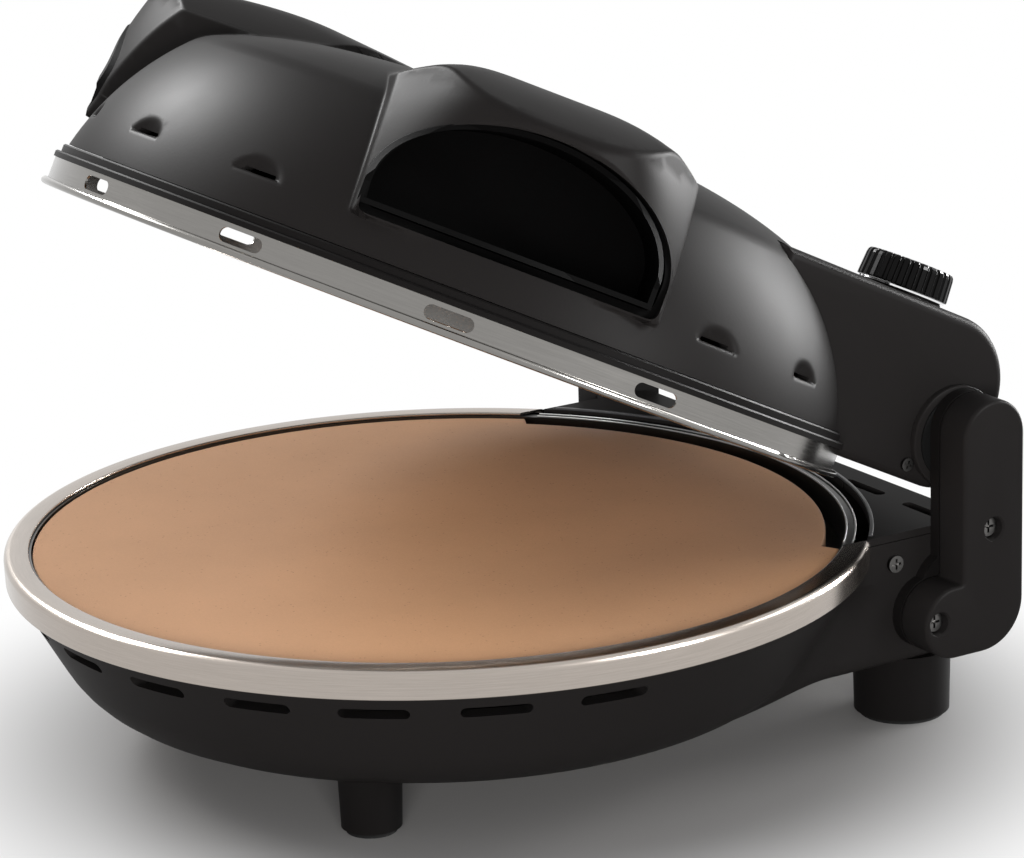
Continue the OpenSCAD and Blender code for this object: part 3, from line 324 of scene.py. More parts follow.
def turned_steel(name, colour, roughness, about, lines=2600.0):
    """Steel brushed round an axis: about = (centre, tilt about X) of the axis."""
    mat, tree, shader, where = start_material(name, colour, roughness, 1.0)
    centre, tilt = about
    shift = tree.nodes.new("ShaderNodeVectorMath")
    shift.operation = "SUBTRACT"
    shift.inputs[1].default_value = centre
    tree.links.new(where, shift.inputs[0])
    turn = tree.nodes.new("ShaderNodeMapping")
    turn.inputs["Rotation"].default_value = (tilt, 0, 0)
    tree.links.new(shift.outputs[0], turn.inputs["Vector"])
    group = use_group(tree, TURNED, turn.outputs["Vector"], Lines=lines)
    tone = ramp(tree, group.outputs["Lines"], [c * 0.82 for c in colour], [min(1, c * 1.12) for c in colour])
    tree.links.new(tone, shader.inputs["Base Color"])
    rough = maths(tree, "MULTIPLY", maths(tree, "SUBTRACT", group.outputs["Lines"], 0.5), LINE_SPREAD)
    cloud = maths(tree, "MULTIPLY", maths(tree, "SUBTRACT", group.outputs["Cloud"], 0.5), LINE_SPREAD)
    uneven = maths(tree, "ADD", rough, cloud)
    tree.links.new(maths(tree, "ADD", uneven, roughness), shader.inputs["Roughness"])
    add_bump(tree, shader, group.outputs["Lines"], LINE_DEPTH)
    return mat


def plain_metal(name, colour, roughness, depth=0.000006):
    mat, tree, shader, where = start_material(name, colour, roughness, 1.0)
    group = use_group(tree, MOULDED, where, Grain_size=700.0, Patchiness=0.2)
    tree.links.new(maths(tree, "ADD", group.outputs["Patch"], roughness), shader.inputs["Roughness"])
    lift = maths(tree, "ADD", group.outputs["Patch"], 0.5)
    tree.links.new(ramp(tree, lift, [c * 0.85 for c in colour], [min(1, c * 1.1) for c in colour]),
                   shader.inputs["Base Color"])
    add_bump(tree, shader, group.outputs["Height"], depth)
    return mat


def clay(name, colour, roughness):
    """Unglazed clay that drifts between paler and darker, with grit in its tone and dark specks."""
    mat, tree, shader, where = start_material(name, colour, roughness)
    group = use_group(tree, FIRED, where)
    paler = [min(1, c * 1.16) for c in colour]
    tone = ramp(tree, group.outputs["Tone"], [c * 0.84 for c in colour], paler)
    grit = tree.nodes.new("ShaderNodeMix")
    grit.data_type, grit.blend_type = "RGBA", "MULTIPLY"
    grit.inputs["Factor"].default_value = 0.35
    tree.links.new(tone, grit.inputs["A"])
    tree.links.new(ramp(tree, group.outputs["Grit"], (0.55, 0.5, 0.46), (1, 1, 1)), grit.inputs["B"])
    spots = tree.nodes.new("ShaderNodeMix")
    spots.data_type = "RGBA"
    spots.inputs["B"].default_value = (colour[0] * 0.45, colour[1] * 0.36, colour[2] * 0.3, 1)
    tree.links.new(maths(tree, "MULTIPLY", group.outputs["Specks"], 0.6), spots.inputs["Factor"])
    tree.links.new(grit.outputs["Result"], spots.inputs["A"])
    tree.links.new(spots.outputs["Result"], shader.inputs["Base Color"])
    shader.inputs["Specular IOR Level"].default_value = 0.12
    add_bump(tree, shader, group.outputs["Grit"], 0.00012)
    return mat


BASE_AXIS = ((0, BACK_SHIFT / 1000, 0.085), 0.0)
LID_AXIS = (tuple(ON_LID @ Vector((0, 0, 0))), LID_OPEN)
FINISHES = {
    "shell_plastic": (plastic, (0.0145, 0.0131, 0.0127), dict(roughness=0.45, patchiness=0.1, shine=0.022)),
    "dark_plastic": (plastic, (0.0075, 0.0067, 0.0065), dict(roughness=0.46, patchiness=0.1, shine=0.04)),
    # Paler than shell_plastic: a painted sheen on the deck's thin lip.
    "lip_painted_sheen": (plastic, (0.05, 0.05, 0.052), dict(roughness=0.35, shine=0.4)),
    # Near black, far darker than shell_plastic: painted shade for the recess behind each hood's mouth.
    "pocket_plastic": (plastic, (0.0012, 0.0011, 0.0011), dict(roughness=0.6, depth=0.00004, shine=0.05)),
    "knob_plastic": (plastic, (0.003, 0.0028, 0.0028),
                     dict(roughness=0.17, depth=0.000004, patchiness=0.08, shine=0.08)),
    "ring_steel": (turned_steel, (0.43, 0.385, 0.345), dict(roughness=0.2, about=BASE_AXIS)),
    # Darker than ring_steel: a painted dark reflection, standing in for the dark surroundings the skirt
    # mirrors.
    "lid_steel_painted_reflection": (turned_steel, (0.25, 0.242, 0.23), dict(roughness=0.18, about=LID_AXIS)),
    "pan_steel": (turned_steel, (0.60, 0.60, 0.59), dict(roughness=0.34, about=BASE_AXIS, lines=1500.0)),
    # Near-black steel: painted shade for the lower pan, whose rolled edges in pan_steel stay bright.
    "pan_painted_shade": (turned_steel, (0.075, 0.073, 0.07), dict(roughness=0.3, about=BASE_AXIS, lines=1500.0)),
    "screw_steel": (plain_metal, (0.1, 0.097, 0.094), dict(roughness=0.34)),
    "heater_steel": (plain_metal, (0.16, 0.145, 0.135), dict(roughness=0.5, depth=0.00004)),
    "chrome_trim": (plain_metal, (0.86, 0.86, 0.87), dict(roughness=0.08, depth=0.000001)),
    "bush_brass": (plain_metal, (0.62, 0.45, 0.2), dict(roughness=0.35)),
    "stone": (clay, (0.77, 0.43, 0.235), dict(roughness=0.9)),
    "rubber": (plastic, (0.012, 0.012, 0.012), dict(roughness=0.85, grain=500.0, depth=0.00006, shine=0.15)),
    "friction_disc": (plastic, (0.006, 0.006, 0.006), dict(roughness=0.6, shine=0.15)),
    "insulator": (plastic, (0.72, 0.68, 0.58), dict(roughness=0.6, grain=600.0, depth=0.00004)),
    "wire_sleeve": (plastic, (0.55, 0.52, 0.45), dict(roughness=0.8, grain=2500.0, depth=0.00015)),
    "lens_red": (plastic, (0.5, 0.02, 0.012), dict(roughness=0.16, depth=0.000002)),
    "lens_green": (plastic, (0.02, 0.3, 0.05), dict(roughness=0.16, depth=0.000002)),
}
MATERIAL = {name: make(name, colour, **values) for name, (make, colour, values) in FINISHES.items()}

# Nodes given a darker steel than their material slot: painted shade on the lower pan in the gap under the
# stone, and a painted dark reflection on the lid's skirt.
PAINTED_DARK_STEEL = {"lid_skirt": "lid_steel_painted_reflection", "lower_pan": "pan_painted_shade"}
for part in frame["record"]["subparts"]:
    node = frame["nodes"][part["node"]]
    node.data.materials.clear()
    finish = PAINTED_DARK_STEEL.get(part["node"], part["material_slot"])
    node.data.materials.append(MATERIAL[finish])

# ---- shape helpers ----

ALONG_X = Matrix(((0, 0, 1, 0), (1, 0, 0, 0), (0, 1, 0, 0), (0, 0, 0, 1)))
DISC_STEPS = 64


def arc(centre, radius, start, end, steps):
    """Points on an arc in a plane, angles in degrees."""
    angles = [math.radians(start + (end - start) * i / steps) for i in range(steps + 1)]
    return [(centre[0] + radius * math.cos(a), centre[1] + radius * math.sin(a)) for a in angles]


def rounded(points, radius, steps=4):
    """The same closed outline with its corners rounded. radius is one value, or one for each corner."""
    result = []
    count = len(points)
    for i, point in enumerate(points):
        r = radius[i] if isinstance(radius, (list, tuple)) else radius
        if r == 0:
            result.append(point)
            continue
        here = Vector(point)
        before, after = Vector(points[i - 1]) - here, Vector(points[(i + 1) % count]) - here
        half = before.angle(after) / 2
        reach = min(r / math.tan(half), before.length * 0.49, after.length * 0.49)
        a, b = here + before.normalized() * reach, here + after.normalized() * reach
        for k in range(steps + 1):
            t = k / steps
            result.append(tuple(a * (1 - t) ** 2 + here * 2 * t * (1 - t) + b * t ** 2))
    return result


def chain(bm, points, closed):
    """Vertices joined by edges through points, given as (x, y, z)."""
    verts = [bm.verts.new(p) for p in points]
    edges = [bm.edges.new(pair) for pair in zip(verts, verts[1:])]
    if closed:
        edges.append(bm.edges.new((verts[-1], verts[0])))
    return verts, edges


def turned(profile, steps, start=0.0, sweep=360.0, closed=False):
    """A profile of (radius, height) points spun about Z from the angle start, in degrees from +X."""
    bm = bmesh.new()
    a = math.radians(start)
    verts, edges = chain(bm, [(r * math.cos(a), r * math.sin(a), z) for r, z in profile], closed)
    full = sweep >= 360
    bmesh.ops.spin(bm, geom=verts + edges, cent=(0, 0, 0), axis=(0, 0, 1), angle=math.radians(sweep),
                   steps=steps, use_merge=full)
    bmesh.ops.remove_doubles(bm, verts=bm.verts, dist=0.001)
    if not full and closed:
        bmesh.ops.holes_fill(bm, edges=[e for e in bm.edges if e.is_boundary], sides=0)
    bmesh.ops.recalc_face_normals(bm, faces=bm.faces)
    return bm


def of_kind(geometry, kind):
    return [g for g in geometry if isinstance(g, kind)]


def slab(outline, depth, bevel=0.0, segments=3):
    """An outline of (x, y) points extruded from z = 0 to depth, with its two rims bevelled."""
    bm = bmesh.new()
    verts = [bm.verts.new((x, y, 0)) for x, y in outline]
    face = bm.faces.new(verts)
    grown = bmesh.ops.extrude_face_region(bm, geom=[face])
    bmesh.ops.translate(bm, verts=of_kind(grown["geom"], bmesh.types.BMVert), vec=(0, 0, depth))
    bmesh.ops.recalc_face_normals(bm, faces=bm.faces)
    if bevel:
        rims = [e for e in bm.edges if abs(e.verts[0].co.z - e.verts[1].co.z) < 1e-6]
        bmesh.ops.bevel(bm, geom=rims, offset=bevel, segments=segments, profile=0.5, affect="EDGES",
                        material=-1)
    return bm


def box(centre, size):
    bm = bmesh.new()
    bmesh.ops.create_cube(bm, size=1, matrix=Matrix.Translation(centre) @ Matrix.Diagonal((*size, 1)))
    return bm


def disc(radius, depth, bevel=0.0):
    return slab(arc((0, 0), radius, 0, 360 - 360 / DISC_STEPS, DISC_STEPS - 1), depth, bevel)


def along_x(x, y=0.0, z=0.0):
    """The place of a slab drawn as (y, z), whose depth runs along X from x."""
    return Matrix.Translation((x, y, z)) @ ALONG_X


def outwards(azimuth, start, height=0.0):
    """The place of a slab drawn as (across, up), whose depth runs from start along azimuth."""
    return Matrix.Rotation(math.radians(azimuth), 4, "Z") @ along_x(start, 0, height)


def moved(bm, place):
    """The same bmesh in its place. A mirrored one keeps its faces outwards."""
    bm.transform(place)
    if place.to_3x3().determinant() < 0:
        bmesh.ops.reverse_faces(bm, faces=bm.faces)
    return bm


def joined(parts):
    """One bmesh of several, which are freed."""
    whole = bmesh.new()
    for part in parts:
        mesh = bpy.data.meshes.new("part")
        part.to_mesh(mesh)
        part.free()
        whole.from_mesh(mesh)
        bpy.data.meshes.remove(mesh)
    return whole


def as_object(bm, name):
    mesh = bpy.data.meshes.new(name)
    bm.to_mesh(mesh)
    bm.free()
    piece = bpy.data.objects.new(name, mesh)
    bpy.context.scene.collection.objects.link(piece)
    return piece


def carve(piece, cutters, operation="DIFFERENCE"):
    """Cuts the solids of cutters, a bmesh, out of a piece, or joins them to it."""
    tool = as_object(cutters, "tool")
    step = piece.modifiers.new("carve", "BOOLEAN")
    step.operation, step.solver, step.object = operation, "EXACT", tool
    step.use_self = False
    done = piece.evaluated_get(bpy.context.evaluated_depsgraph_get())
    shape = bpy.data.meshes.new_from_object(done)
    piece.modifiers.clear()
    old, used = piece.data, tool.data
    piece.data = shape
    shape.name = piece.name
    bpy.data.objects.remove(tool)
    for mesh in (old, used):
        bpy.data.meshes.remove(mesh)


def settle(piece, place, body, slot, nodes=(), material=None, crease=32.0):
    """Puts a finished shape in its place, smooths it up to the crease angle, and ties it to the model."""
    piece.data.transform(place)
    if place.to_3x3().determinant() < 0:
        piece.data.flip_normals()
    piece.data.materials.clear()
    piece.data.materials.append(MATERIAL[material or slot])
    piece.data.shade_smooth()
    piece.data.set_sharp_from_angle(angle=math.radians(crease))
    if nodes:
        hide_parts(*nodes)
    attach(piece, body)


# ---- skins: surfaces met by rays from a core, refined where they bend ----

# How often a ray's reach is halved, and how far apart a normal's two probes lie from its spot.
HALVINGS, PROBE = 21, 0.06

# A corner takes the skin's normal if it is this near the skin and its face looks nearly the same way.
ON_SKIN, SAME_WAY = 0.05, 0.72


def soft_max(a, b, k):
    """The larger of two fields, with a rounding of about k where they meet."""
    h = np.clip(0.5 + 0.5 * (a - b) / k, 0, 1)
    return b + (a - b) * h + k * h * (1 - h)


def soft_min(a, b, k):
    return -soft_max(-a, -b, k)


def meet(side, core, way, reach):
    """Where rays from core along way leave the solid that side is negative in."""
    near, far = np.full(len(way), float(reach[0])), np.full(len(way), float(reach[1]))
    for _ in range(HALVINGS):
        middle = (near + far) / 2
        outside = side(*(core + way * middle[:, None]).T) > 0
        far[outside], near[~outside] = middle[outside], middle[~outside]
    return core + way * near[:, None]


def outward(side, spots):
    """The field's own normals at the spots."""
    rise = np.stack([side(*(spots + a).T) - side(*(spots - a).T) for a in np.eye(3) * PROBE], 1)
    return rise / np.maximum(np.linalg.norm(rise, axis=1), 1e-9)[:, None]


def skin(side, core, tilts, turns, reach, passes, least=0.75, bend=10.0):
    """An open skin round core. tilts are the rays' heights in degrees, from its rim to its pole. Each pass
    splits the edges longer than least across which the skin turns by more than bend degrees."""
    core = np.array(core, float)
    bm = turned([(100 * math.cos(math.radians(t)), 100 * math.sin(math.radians(t))) for t in tilts], turns)
    bmesh.ops.triangulate(bm, faces=bm.faces)
    fresh = list(bm.verts)
    for step in range(passes + 1):
        way = np.array([v.co for v in fresh]) - (core if step else 0)
        way /= np.linalg.norm(way, axis=1)[:, None]
        for vert, spot in zip(fresh, meet(side, core, way, reach)):
            vert.co = spot
        if step == passes:
            break
        bm.verts.index_update()
        spots = np.array([v.co for v in bm.verts])
        faces = outward(side, spots)
        ends = np.array([[v.index for v in e.verts] for e in bm.edges])
        turn = (faces[ends[:, 0]] * faces[ends[:, 1]]).sum(1)
        long = np.linalg.norm(spots[ends[:, 0]] - spots[ends[:, 1]], axis=1)
        pick = (turn < math.cos(math.radians(bend))) & (long > least)
        edges = [e for e, chosen in zip(bm.edges, pick) if chosen]
        cut = bmesh.ops.subdivide_edges(bm, edges=edges, cuts=1)
        fresh = of_kind(cut["geom_inner"], bmesh.types.BMVert)
        bmesh.ops.triangulate(bm, faces=[f for f in bm.faces if len(f.verts) > 3])
    return bm


def inner_wall(bm, core, shares):
    """Closes an open skin: its rim goes inwards and round as a wall, to shares of the way from the core."""
    edge = [e for e in bm.edges if e.is_boundary]
    for share, height in shares:
        grown = bmesh.ops.extrude_edge_only(bm, edges=edge)
        verts = of_kind(grown["geom"], bmesh.types.BMVert)
        edge = [e for e in of_kind(grown["geom"], bmesh.types.BMEdge) if all(v in verts for v in e.verts)]
        for vert in verts:
            flat = Vector((vert.co.x - core[0], vert.co.y - core[1], 0))
            vert.co = Vector((core[0], core[1], height)) + flat * share
    bmesh.ops.holes_fill(bm, edges=edge, sides=0)
    bmesh.ops.recalc_face_normals(bm, faces=bm.faces)


def shade_skin(piece, side, place):
    """Gives the corners that lie on a skin the skin's own normals, so its edges keep their true roundness."""
    mesh = piece.data
    corners, faces = len(mesh.loops), len(mesh.polygons)
    spots, corner = np.empty(len(mesh.vertices) * 3), np.empty(corners, np.int32)
    mesh.vertices.foreach_get("co", spots)
    mesh.loops.foreach_get("vertex_index", corner)
    total, flat, old = np.empty(faces, np.int32), np.empty(faces * 3), np.empty(corners * 3)
    mesh.polygons.foreach_get("loop_total", total)
    mesh.polygons.foreach_get("normal", flat)
    mesh.corner_normals.foreach_get("vector", old)
    back = np.array(place.inverted())
    spots = spots.reshape(-1, 3) @ back[:3, :3].T + back[:3, 3]
    value, normal = side(*spots.T), outward(side, spots)
    turn = np.array(place.to_3x3().normalized())
    normal = (normal @ turn.T)[corner]
    flat, old = np.repeat(flat.reshape(-1, 3), total, axis=0), old.reshape(-1, 3)
    use = (np.abs(value)[corner] < ON_SKIN) & ((normal * flat).sum(1) > SAME_WAY)
    mesh.normals_split_custom_set(np.where(use[:, None], normal, old).tolist())


# ---- lid shell: a dome whose skin is drawn out into two hoods ----

# The dome's section: a flank on a circle, and a flatter crown that falls with the radius.
FLANK_R, FLANK_Z, FLANK_BEND = 48.26, -10.06, 118.0
CROWN_TOP, CROWN_FALL_2, CROWN_FALL_4 = 94.0, 4.13e-4, 4.018e-8
CROWN_SLOPE_1, CROWN_SLOPE_3 = 8.26e-4, 1.607e-7

# How far out the hood's front stands at each height, from the sill to the brow.
FRONT_Z = [20, 35, 43, 55, 65, 74, 78.5, 80, 84, 90]
FRONT_REACH = [154.5, 155.5, 156.2, 159.5, 162.7, 166.5, 169.8, 171.6, 172, 172]
HOOD_TURNS = {"right": -28.2, "left": -151.8}
HOOD_HALF, HOOD_FOOT, CREST_BEND = 59.8, 30.5, 105.2
CLIMB, FALL = ((40, 93.5), (114, 101.8)), ((125, 101.6), (171, 84))
CHEEK_TURN, CHEEK_RISE, CHEEK_REACH = math.radians(55), math.radians(19), 143.2
CHEEK_HOLLOW, CHEEK_TUCK = 2.2, 1.8
VISOR_OUT, VISOR_R, VISOR_LEAN, VISOR_Z = 105, 67, 0.236, 84
MOUTH_SPRING = 44

VENT_TURNS = (-88.8, -65, -114, 4.6, 26.2, 175.4, 153.8)
VENT_R, VENT_Z, VENT_SPREAD = 160.5, 31.6, (6.0, 10.5, 8.5)


def dome_side(x, y, z):
    """How far a point lies outside the plain dome."""
    r = np.hypot(x, y)
    flank = np.hypot(r - FLANK_R, z - FLANK_Z) - FLANK_BEND
    crown = z - (CROWN_TOP - CROWN_FALL_2 * r ** 2 - CROWN_FALL_4 * r ** 4)
    slope = np.sqrt(1 + (CROWN_SLOPE_1 * r + CROWN_SLOPE_3 * r ** 3) ** 2)
    return soft_max(flank, crown / slope, 1.6)


def plane_side(u, v, a, b):
    """How far (u, v) lies to the left of the way from a to b."""
    du, dv = b[0] - a[0], b[1] - a[1]
    return ((v - a[1]) * du - (u - a[0]) * dv) / math.hypot(du, dv)


def turned_frame(x, y, azimuth):
    """How far a point lies out along azimuth, and how far across it."""
    c, s = math.cos(math.radians(azimuth)), math.sin(math.radians(azimuth))
    return x * c + y * s, -x * s + y * c


def hood_side(x, y, z, azimuth):
    """How far a point lies outside the hood that points along azimuth."""
    out, across = turned_frame(x, y, azimuth)
    across = np.abs(across)
    middle = np.clip(1 - across / 52, 0, 1)
    crest = np.hypot(across, z + 2.2) - CREST_BEND
    roof = soft_max(soft_max(plane_side(out, z, *CLIMB), plane_side(out, z, *FALL), 20.0), crest, 3.0)
    front = (out - np.interp(z, FRONT_Z, FRONT_REACH)) * 0.9
    visor = (np.hypot(out - VISOR_OUT, across) - VISOR_R - VISOR_LEAN * (VISOR_Z - z)) * 0.97
    level = out * math.cos(CHEEK_TURN) + across * math.sin(CHEEK_TURN)
    cheek = level * math.cos(CHEEK_RISE) + z * math.sin(CHEEK_RISE) - CHEEK_REACH
    hollow = np.clip(1 - (2 * ((z - 40) / 45) - 1) ** 2, 0, 1)
    cheek = cheek - CHEEK_HOLLOW * hollow + CHEEK_TUCK * np.clip((48 - z) / 14, 0, 1)
    side = soft_max(across - HOOD_HALF, HOOD_FOOT - z, 2.0)
    brow = soft_max(roof, soft_max(cheek, visor, 5.0), 0.9 + 3.6 * middle)
    return soft_max(brow, soft_max(front, side, 1.2), 1.1)


def lid_side(x, y, z):
    """How far a point lies outside the dome with its hoods, dented above each vent."""
    hoods = np.minimum(*(hood_side(x, y, z, azimuth) for azimuth in HOOD_TURNS.values()))
    outside = soft_min(dome_side(x, y, z), hoods, 1.4)
    for azimuth in VENT_TURNS:
        out, across = turned_frame(x, y, azimuth)
        offsets = zip((out - VENT_R, across, z - VENT_Z), VENT_SPREAD)
        dent = (np.sqrt(sum((offset / spread) ** 2 for offset, spread in offsets)) - 1) * 5
        outside = soft_max(outside, -soft_max(dent, VENT_Z - z, 0.5), 1.5)
    return outside


def mouth_outline(half, low, high):
    """The mouth as (across, up) points: a flat sill with small round corners under a half ellipse."""
    turns = np.linspace(0, math.pi, 65)
    rise = [(half * math.cos(a), MOUTH_SPRING + (high - MOUTH_SPRING) * math.sin(a)) for a in turns]
    return rounded([(0.5 - half, low), (half - 0.5, low)] + rise, [4, 4] + [0] * len(rise))


def hood_sleeve(azimuth, name):
    """The wall between the mouth's edge and the grip pocket behind it, in near-black plastic that is painted
    shade.
    """
    piece = as_object(moved(slab(mouth_outline(59.3, 31.0, 80.9), 34.5), outwards(azimuth, 116)), name)
    carve(piece, moved(slab(mouth_outline(56.3, 34.6, 79.0), 80), outwards(azimuth, 100)))
    settle(piece, ON_LID, "lid", "pocket_plastic", crease=40)


def lid_shell():
    """The skin with its inner wall, cut open at the mouths, at the vents and where the housing stands."""
    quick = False
    rings, turns = (54, 216) if quick else (78, 340)
    tilts = [3.4 + 86.6 * (i / rings) ** 0.92 for i in range(rings + 1)]
    core = (0.0, 0.0, 8.0)
    bm = skin(lid_side, core, tilts, turns, (60, 215), 1 if quick else 3)
    inner_wall(bm, core, ((0.984, 17.5), (0.957, 30.0), (0.86, 58.0), (0.69, 76.0), (0.37, 86.0)))
    shell = as_object(bm, "lid_shell")

    mouth = mouth_outline(58.5, 31.8, 80.0)
    low, high = VENT_Z - 0.1, VENT_Z + 1.6
    slit = rounded([(-7.2, low), (7.2, low), (7.2, high), (-7.2, high)], 0.7)
    tools = [moved(slab(mouth, 80), outwards(azimuth, 109)) for azimuth in HOOD_TURNS.values()]
    tools += [moved(slab(slit, 22), outwards(azimuth, 135.2)) for azimuth in VENT_TURNS]
    tools.append(box((0, 152, 39.4), (231.4, 180, 79.2)))
    carve(shell, joined(tools))
    settle(shell, ON_LID, "lid", "shell_plastic", ["lid_dome"], crease=34)
    shade_skin(shell, lid_side, ON_LID)


lid_shell()
for hand, hood_turn in HOOD_TURNS.items():
    hood_sleeve(hood_turn, "hood_sleeve_" + hand)

# ---- base bowl and its block, one skin ----

SIDE_LEAN, SIDE_R, SIDE_TOP = math.radians(29), 171.5, 73.5
BOWL_LIMIT, BOWL_FLOOR = 173, 24
BLOCK_HALF, BLOCK_FRONT, BLOCK_BACK, BLOCK_FLOOR = 119, 45, 181, 29
SLOT_MIDDLE, SLOT_PITCH, SLOT_Z = -86.3, 15.6, 65.5


def base_side(x, y, z):
    """How far a point lies outside the bowl and the block, which flow into each other below the rim."""
    r = np.hypot(x, y)
    wall = (r - SIDE_R) * math.cos(SIDE_LEAN) - (z - SIDE_TOP) * math.sin(SIDE_LEAN)
    bowl = soft_max(np.maximum(wall, r - BOWL_LIMIT), BOWL_FLOOR - z, 19.5)
    ends = np.maximum(y - BLOCK_BACK, BLOCK_FRONT - y)
    block = soft_max(soft_max(np.abs(x) - BLOCK_HALF, ends, 9), BLOCK_FLOOR - z, 6)
    return soft_min(bowl, block, 0.02 + 11 * np.clip((74 - z) / 8, 0, 1))


def obround(length, height):
    r = height / 2
    return arc((length / 2 - r, 0), r, -90, 90, 10) + arc((r - length / 2, 0), r, 90, 270, 10)


def base_shell():
    """The skin with its inner wall, and the row of slots under the ring."""
    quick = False
    rings, turns = (46, 200) if quick else (60, 300)
    core = (0.0, 20.0, 81.4)
    tilts = [-90 * (i / rings) for i in range(rings + 1)]
    bm = skin(base_side, core, tilts, turns, (40, 260), 1 if quick else 2, least=1.0, bend=12)
    inner_wall(bm, core, ((0.98, 81.4), (0.965, 70.0), (0.9, 50.0), (0.82, 40.0), (0.7, 33.0), (0.5, 30.5)))
    shell = as_object(bm, "base_shell")
    places = [outwards(SLOT_MIDDLE + SLOT_PITCH * i, 151.5, SLOT_Z) for i in range(-5, 6)]
    carve(shell, joined([moved(slab(obround(27, 4.5), 30), place) for place in places]))
    settle(shell, ON_BASE, "base", "shell_plastic", ["base_bowl"], crease=34)
    shade_skin(shell, base_side, ON_BASE)


base_shell()

# ---- steel ring, stone, and the lips of the cover and the pan behind it ----

STONE_R, STONE_BACK_R, STONE_THICK, STONE_Z = 163.5, 156, 12.7, 70.3
PAN_EDGES = (164.4, 168.0)


def ring():
    """A folded steel section, rounded at its shoulder and at both edges, and open at the block."""
    profile = ([(165.0, 83.9)] + arc((165.55, 84.45), 0.55, 180, 90, 4) + arc((171.98, 82), 3, 90, 0, 10)
               + [(174.75, 73.9)] + arc((174.3, 73.9), 0.4, 0, -90, 3) + [(173.6, 73.5), (173.9, 82)]
               + arc((172, 82), 1.9, 0, 90, 5))
    piece = as_object(turned(profile, 420, closed=True), "steel_ring")
    carve(piece, box((0, 150, 80), (238.6, 220, 40)))
    settle(piece, ON_BASE, "base", "ring_steel", ["base_ring"], crease=40)


def stone():
    """A round stone that steps in to a smaller radius at the back."""
    outline = arc((0, 0), STONE_R, 135.4, 404.6, 280) + arc((0, 0), STONE_BACK_R, 45.5, 134.5, 90)
    piece = as_object(slab(outline, STONE_THICK, 0.9, 3), "pizza_stone")
    place = ON_BASE @ Matrix.Translation((0, 0, STONE_Z))
    settle(piece, place, "stone", "stone", ["baking_stone"], crease=50)


def deck_lip():
    """The thin raised lip of the cover, which follows the stone's rear edge. Its paler plastic is a painted
    sheen for the light arc along the lip.
    """
    profile = rounded([(173.7, 84.6), (175.3, 84.6), (175.2, 85.6), (173.8, 85.6)], 0.35)
    piece = as_object(turned(profile, 110, 48.5, 83, closed=True), "deck_lip")
    settle(piece, ON_BASE, "base", "shell_plastic", material="lip_painted_sheen", crease=50)


def pan_lip():
    """The pan's two rolled edges, which show behind the stone."""
    sections = [arc((radius, 84.0), 0.35, 0, 330, 11) for radius in PAN_EDGES]
    rolls = joined([turned(section, 100, 46.5, 87, closed=True) for section in sections])
    settle(as_object(rolls, "pan_lip"), ON_BASE, "base", "pan_steel", crease=60)


ring()
stone()
deck_lip()
pan_lip()

# ---- arms ----

ARM_SCREWS = ((146.0, 51.5), (173.0, 86.1))


def arm(place, name, node):
    """A boot-shaped cover with two bores for its screws, each with a chamfered lip."""
    toe, heel, top = (154.0, 50.5), (168.0, 55.5), (173.0, 124.0)
    before, after = arc(top, 15, 0, 180, 28), arc(toe, 15, 90, 270, 28) + arc(heel, 20, -90, 0, 18)
    outline = rounded(before + [(158, 65.5)] + after, [0] * len(before) + [3.4] + [0] * len(after), 5)
    piece = as_object(moved(slab(outline, 16.9, 1.7, 4), along_x(124.1)), name)
    bores, lips = [], []
    for y, z in ARM_SCREWS:
        bores.append(moved(disc(4.5, 12), along_x(134.1, y, z)))
        lip = bmesh.new()
        bmesh.ops.create_cone(lip, cap_ends=True, segments=DISC_STEPS, radius1=4.2, radius2=5.7, depth=1.5)
        lips.append(moved(lip, along_x(140.7, y, z)))
    carve(piece, joined(bores))
    carve(piece, joined(lips))
    settle(piece, place, "base", "shell_plastic", [node], crease=42)


arm(ON_BASE, "arm_cover_right", "arm_right")
arm(ON_BASE @ FLIP_X, "arm_cover_left", "arm_left")

# ---- hinge housing behind the dome ----

KNOB_X, KNOB_Y, KNOB_SEAT_Z = 88.0, 143.0, 76.2
HOUSING_FRONT, HOUSING_HALF = 62.3, 115
WALL = 2.9


def dome_inset(gap, low):
    """The solid that the dome's wall encloses, drawn in by gap."""
    flank = []
    for turn in range(14, 91, 2):
        r = FLANK_R + (FLANK_BEND - gap) * math.cos(math.radians(turn))
        z = FLANK_Z + (FLANK_BEND - gap) * math.sin(math.radians(turn))
        flank.append((r, min(z, CROWN_TOP - gap - CROWN_FALL_2 * r ** 2 - CROWN_FALL_4 * r ** 4)))
    top = [(24, 93.7 - gap), (0, CROWN_TOP - gap)]
    return turned([(0, low), (160.1, low), (160.1, 18.2)] + flank + top, 260)


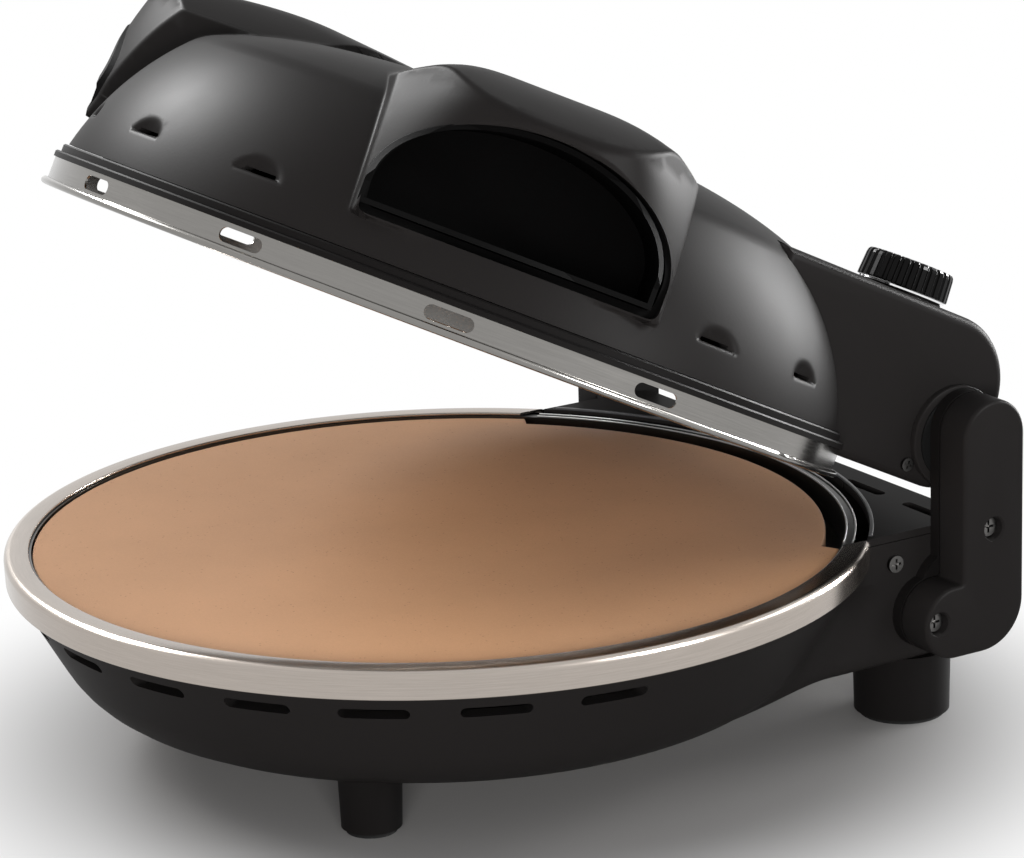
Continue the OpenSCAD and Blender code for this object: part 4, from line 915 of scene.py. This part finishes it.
def housing():
    """The rounded box behind the dome, hollowed for the dome and its cover, with its hubs and knob seats."""
    outline = ([(HOUSING_FRONT, 9)] + arc((168.5, 31), 22, -90, 0, 16) + arc((160.5, 48.2), 30, 0, 90, 22)
               + [(HOUSING_FRONT, 78.2)])
    piece = as_object(moved(slab(outline, 2 * HOUSING_HALF, 4.2, 5), along_x(-HOUSING_HALF)), "housing_shell")
    carve(piece, dome_inset(WALL, -2))
    carve(piece, box((0, 138.1, 6.6), (225, 60.8, 10)))
    bosses = []
    for side, hub_x in ((-1, -117.8), (1, 113.8)):
        bosses.append(moved(disc(21, 4, 0.7), along_x(hub_x, HINGE_Y, HINGE_LID_Z)))
        bosses.append(moved(disc(17, 3.4, 0.6), Matrix.Translation((side * KNOB_X, KNOB_Y, KNOB_SEAT_Z))))
    carve(piece, joined(bosses), "UNION")
    settle(piece, ON_LID, "lid", "shell_plastic", ["hinge_housing"], crease=36)


KNOB_R, KNOB_FOOT, RIBS, GROOVE = 18.9, 80.7, 28, 1.15

# The knob's heights from foot to dished top, and its size at each as a share of KNOB_R.
KNOB_STEPS = ((81.2, 1.005), (90.0, 0.972), (91.2, 0.955), (91.9, 0.925), (92.15, 0.885), (92.15, 0.83),
              (91.5, 0.80))


def knob_outline():
    """A circle with a round groove between each pair of ribs."""
    half = math.degrees(math.asin(GROOVE / KNOB_R))
    points = []
    for i in range(RIBS):
        middle = 360 / RIBS * i
        centre = (KNOB_R * math.cos(math.radians(middle)), KNOB_R * math.sin(math.radians(middle)))
        points += arc(centre, GROOVE, middle - 90 - half / 2, middle - 270 + half / 2, 6)
    return points


def knob(side, name, node, body):
    """Ribbed sides that taper, a rounded shoulder, and a shallow dished top with a pointer bar."""
    bm = bmesh.new()
    face = bm.faces.new([bm.verts.new((x, y, KNOB_FOOT)) for x, y in knob_outline()])
    last = 1.0
    for z, size in KNOB_STEPS:
        grown = bmesh.ops.extrude_face_region(bm, geom=[face])["geom"]
        face = of_kind(grown, bmesh.types.BMFace)[0]
        for vert in of_kind(grown, bmesh.types.BMVert):
            vert.co = (vert.co.x * size / last, vert.co.y * size / last, z)
        last = size
    bmesh.ops.recalc_face_normals(bm, faces=bm.faces)
    bar = slab(rounded([(-1.2, 1.5), (1.2, 1.5), (1.2, 14.2), (-1.2, 14.2)], 1.0), 1.3, 0.3, 2)
    whole = joined([bm, moved(bar, Matrix.Translation((0, 0, 90.9)))])
    piece = as_object(moved(whole, Matrix.Translation((side * KNOB_X, KNOB_Y, 0))), name)
    settle(piece, ON_LID, body, "knob_plastic", [node], crease=30)


housing()
knob(1, "thermostat_grip", "thermostat_knob", "thermostat_control")
knob(-1, "timer_grip", "timer_knob", "timer_control")
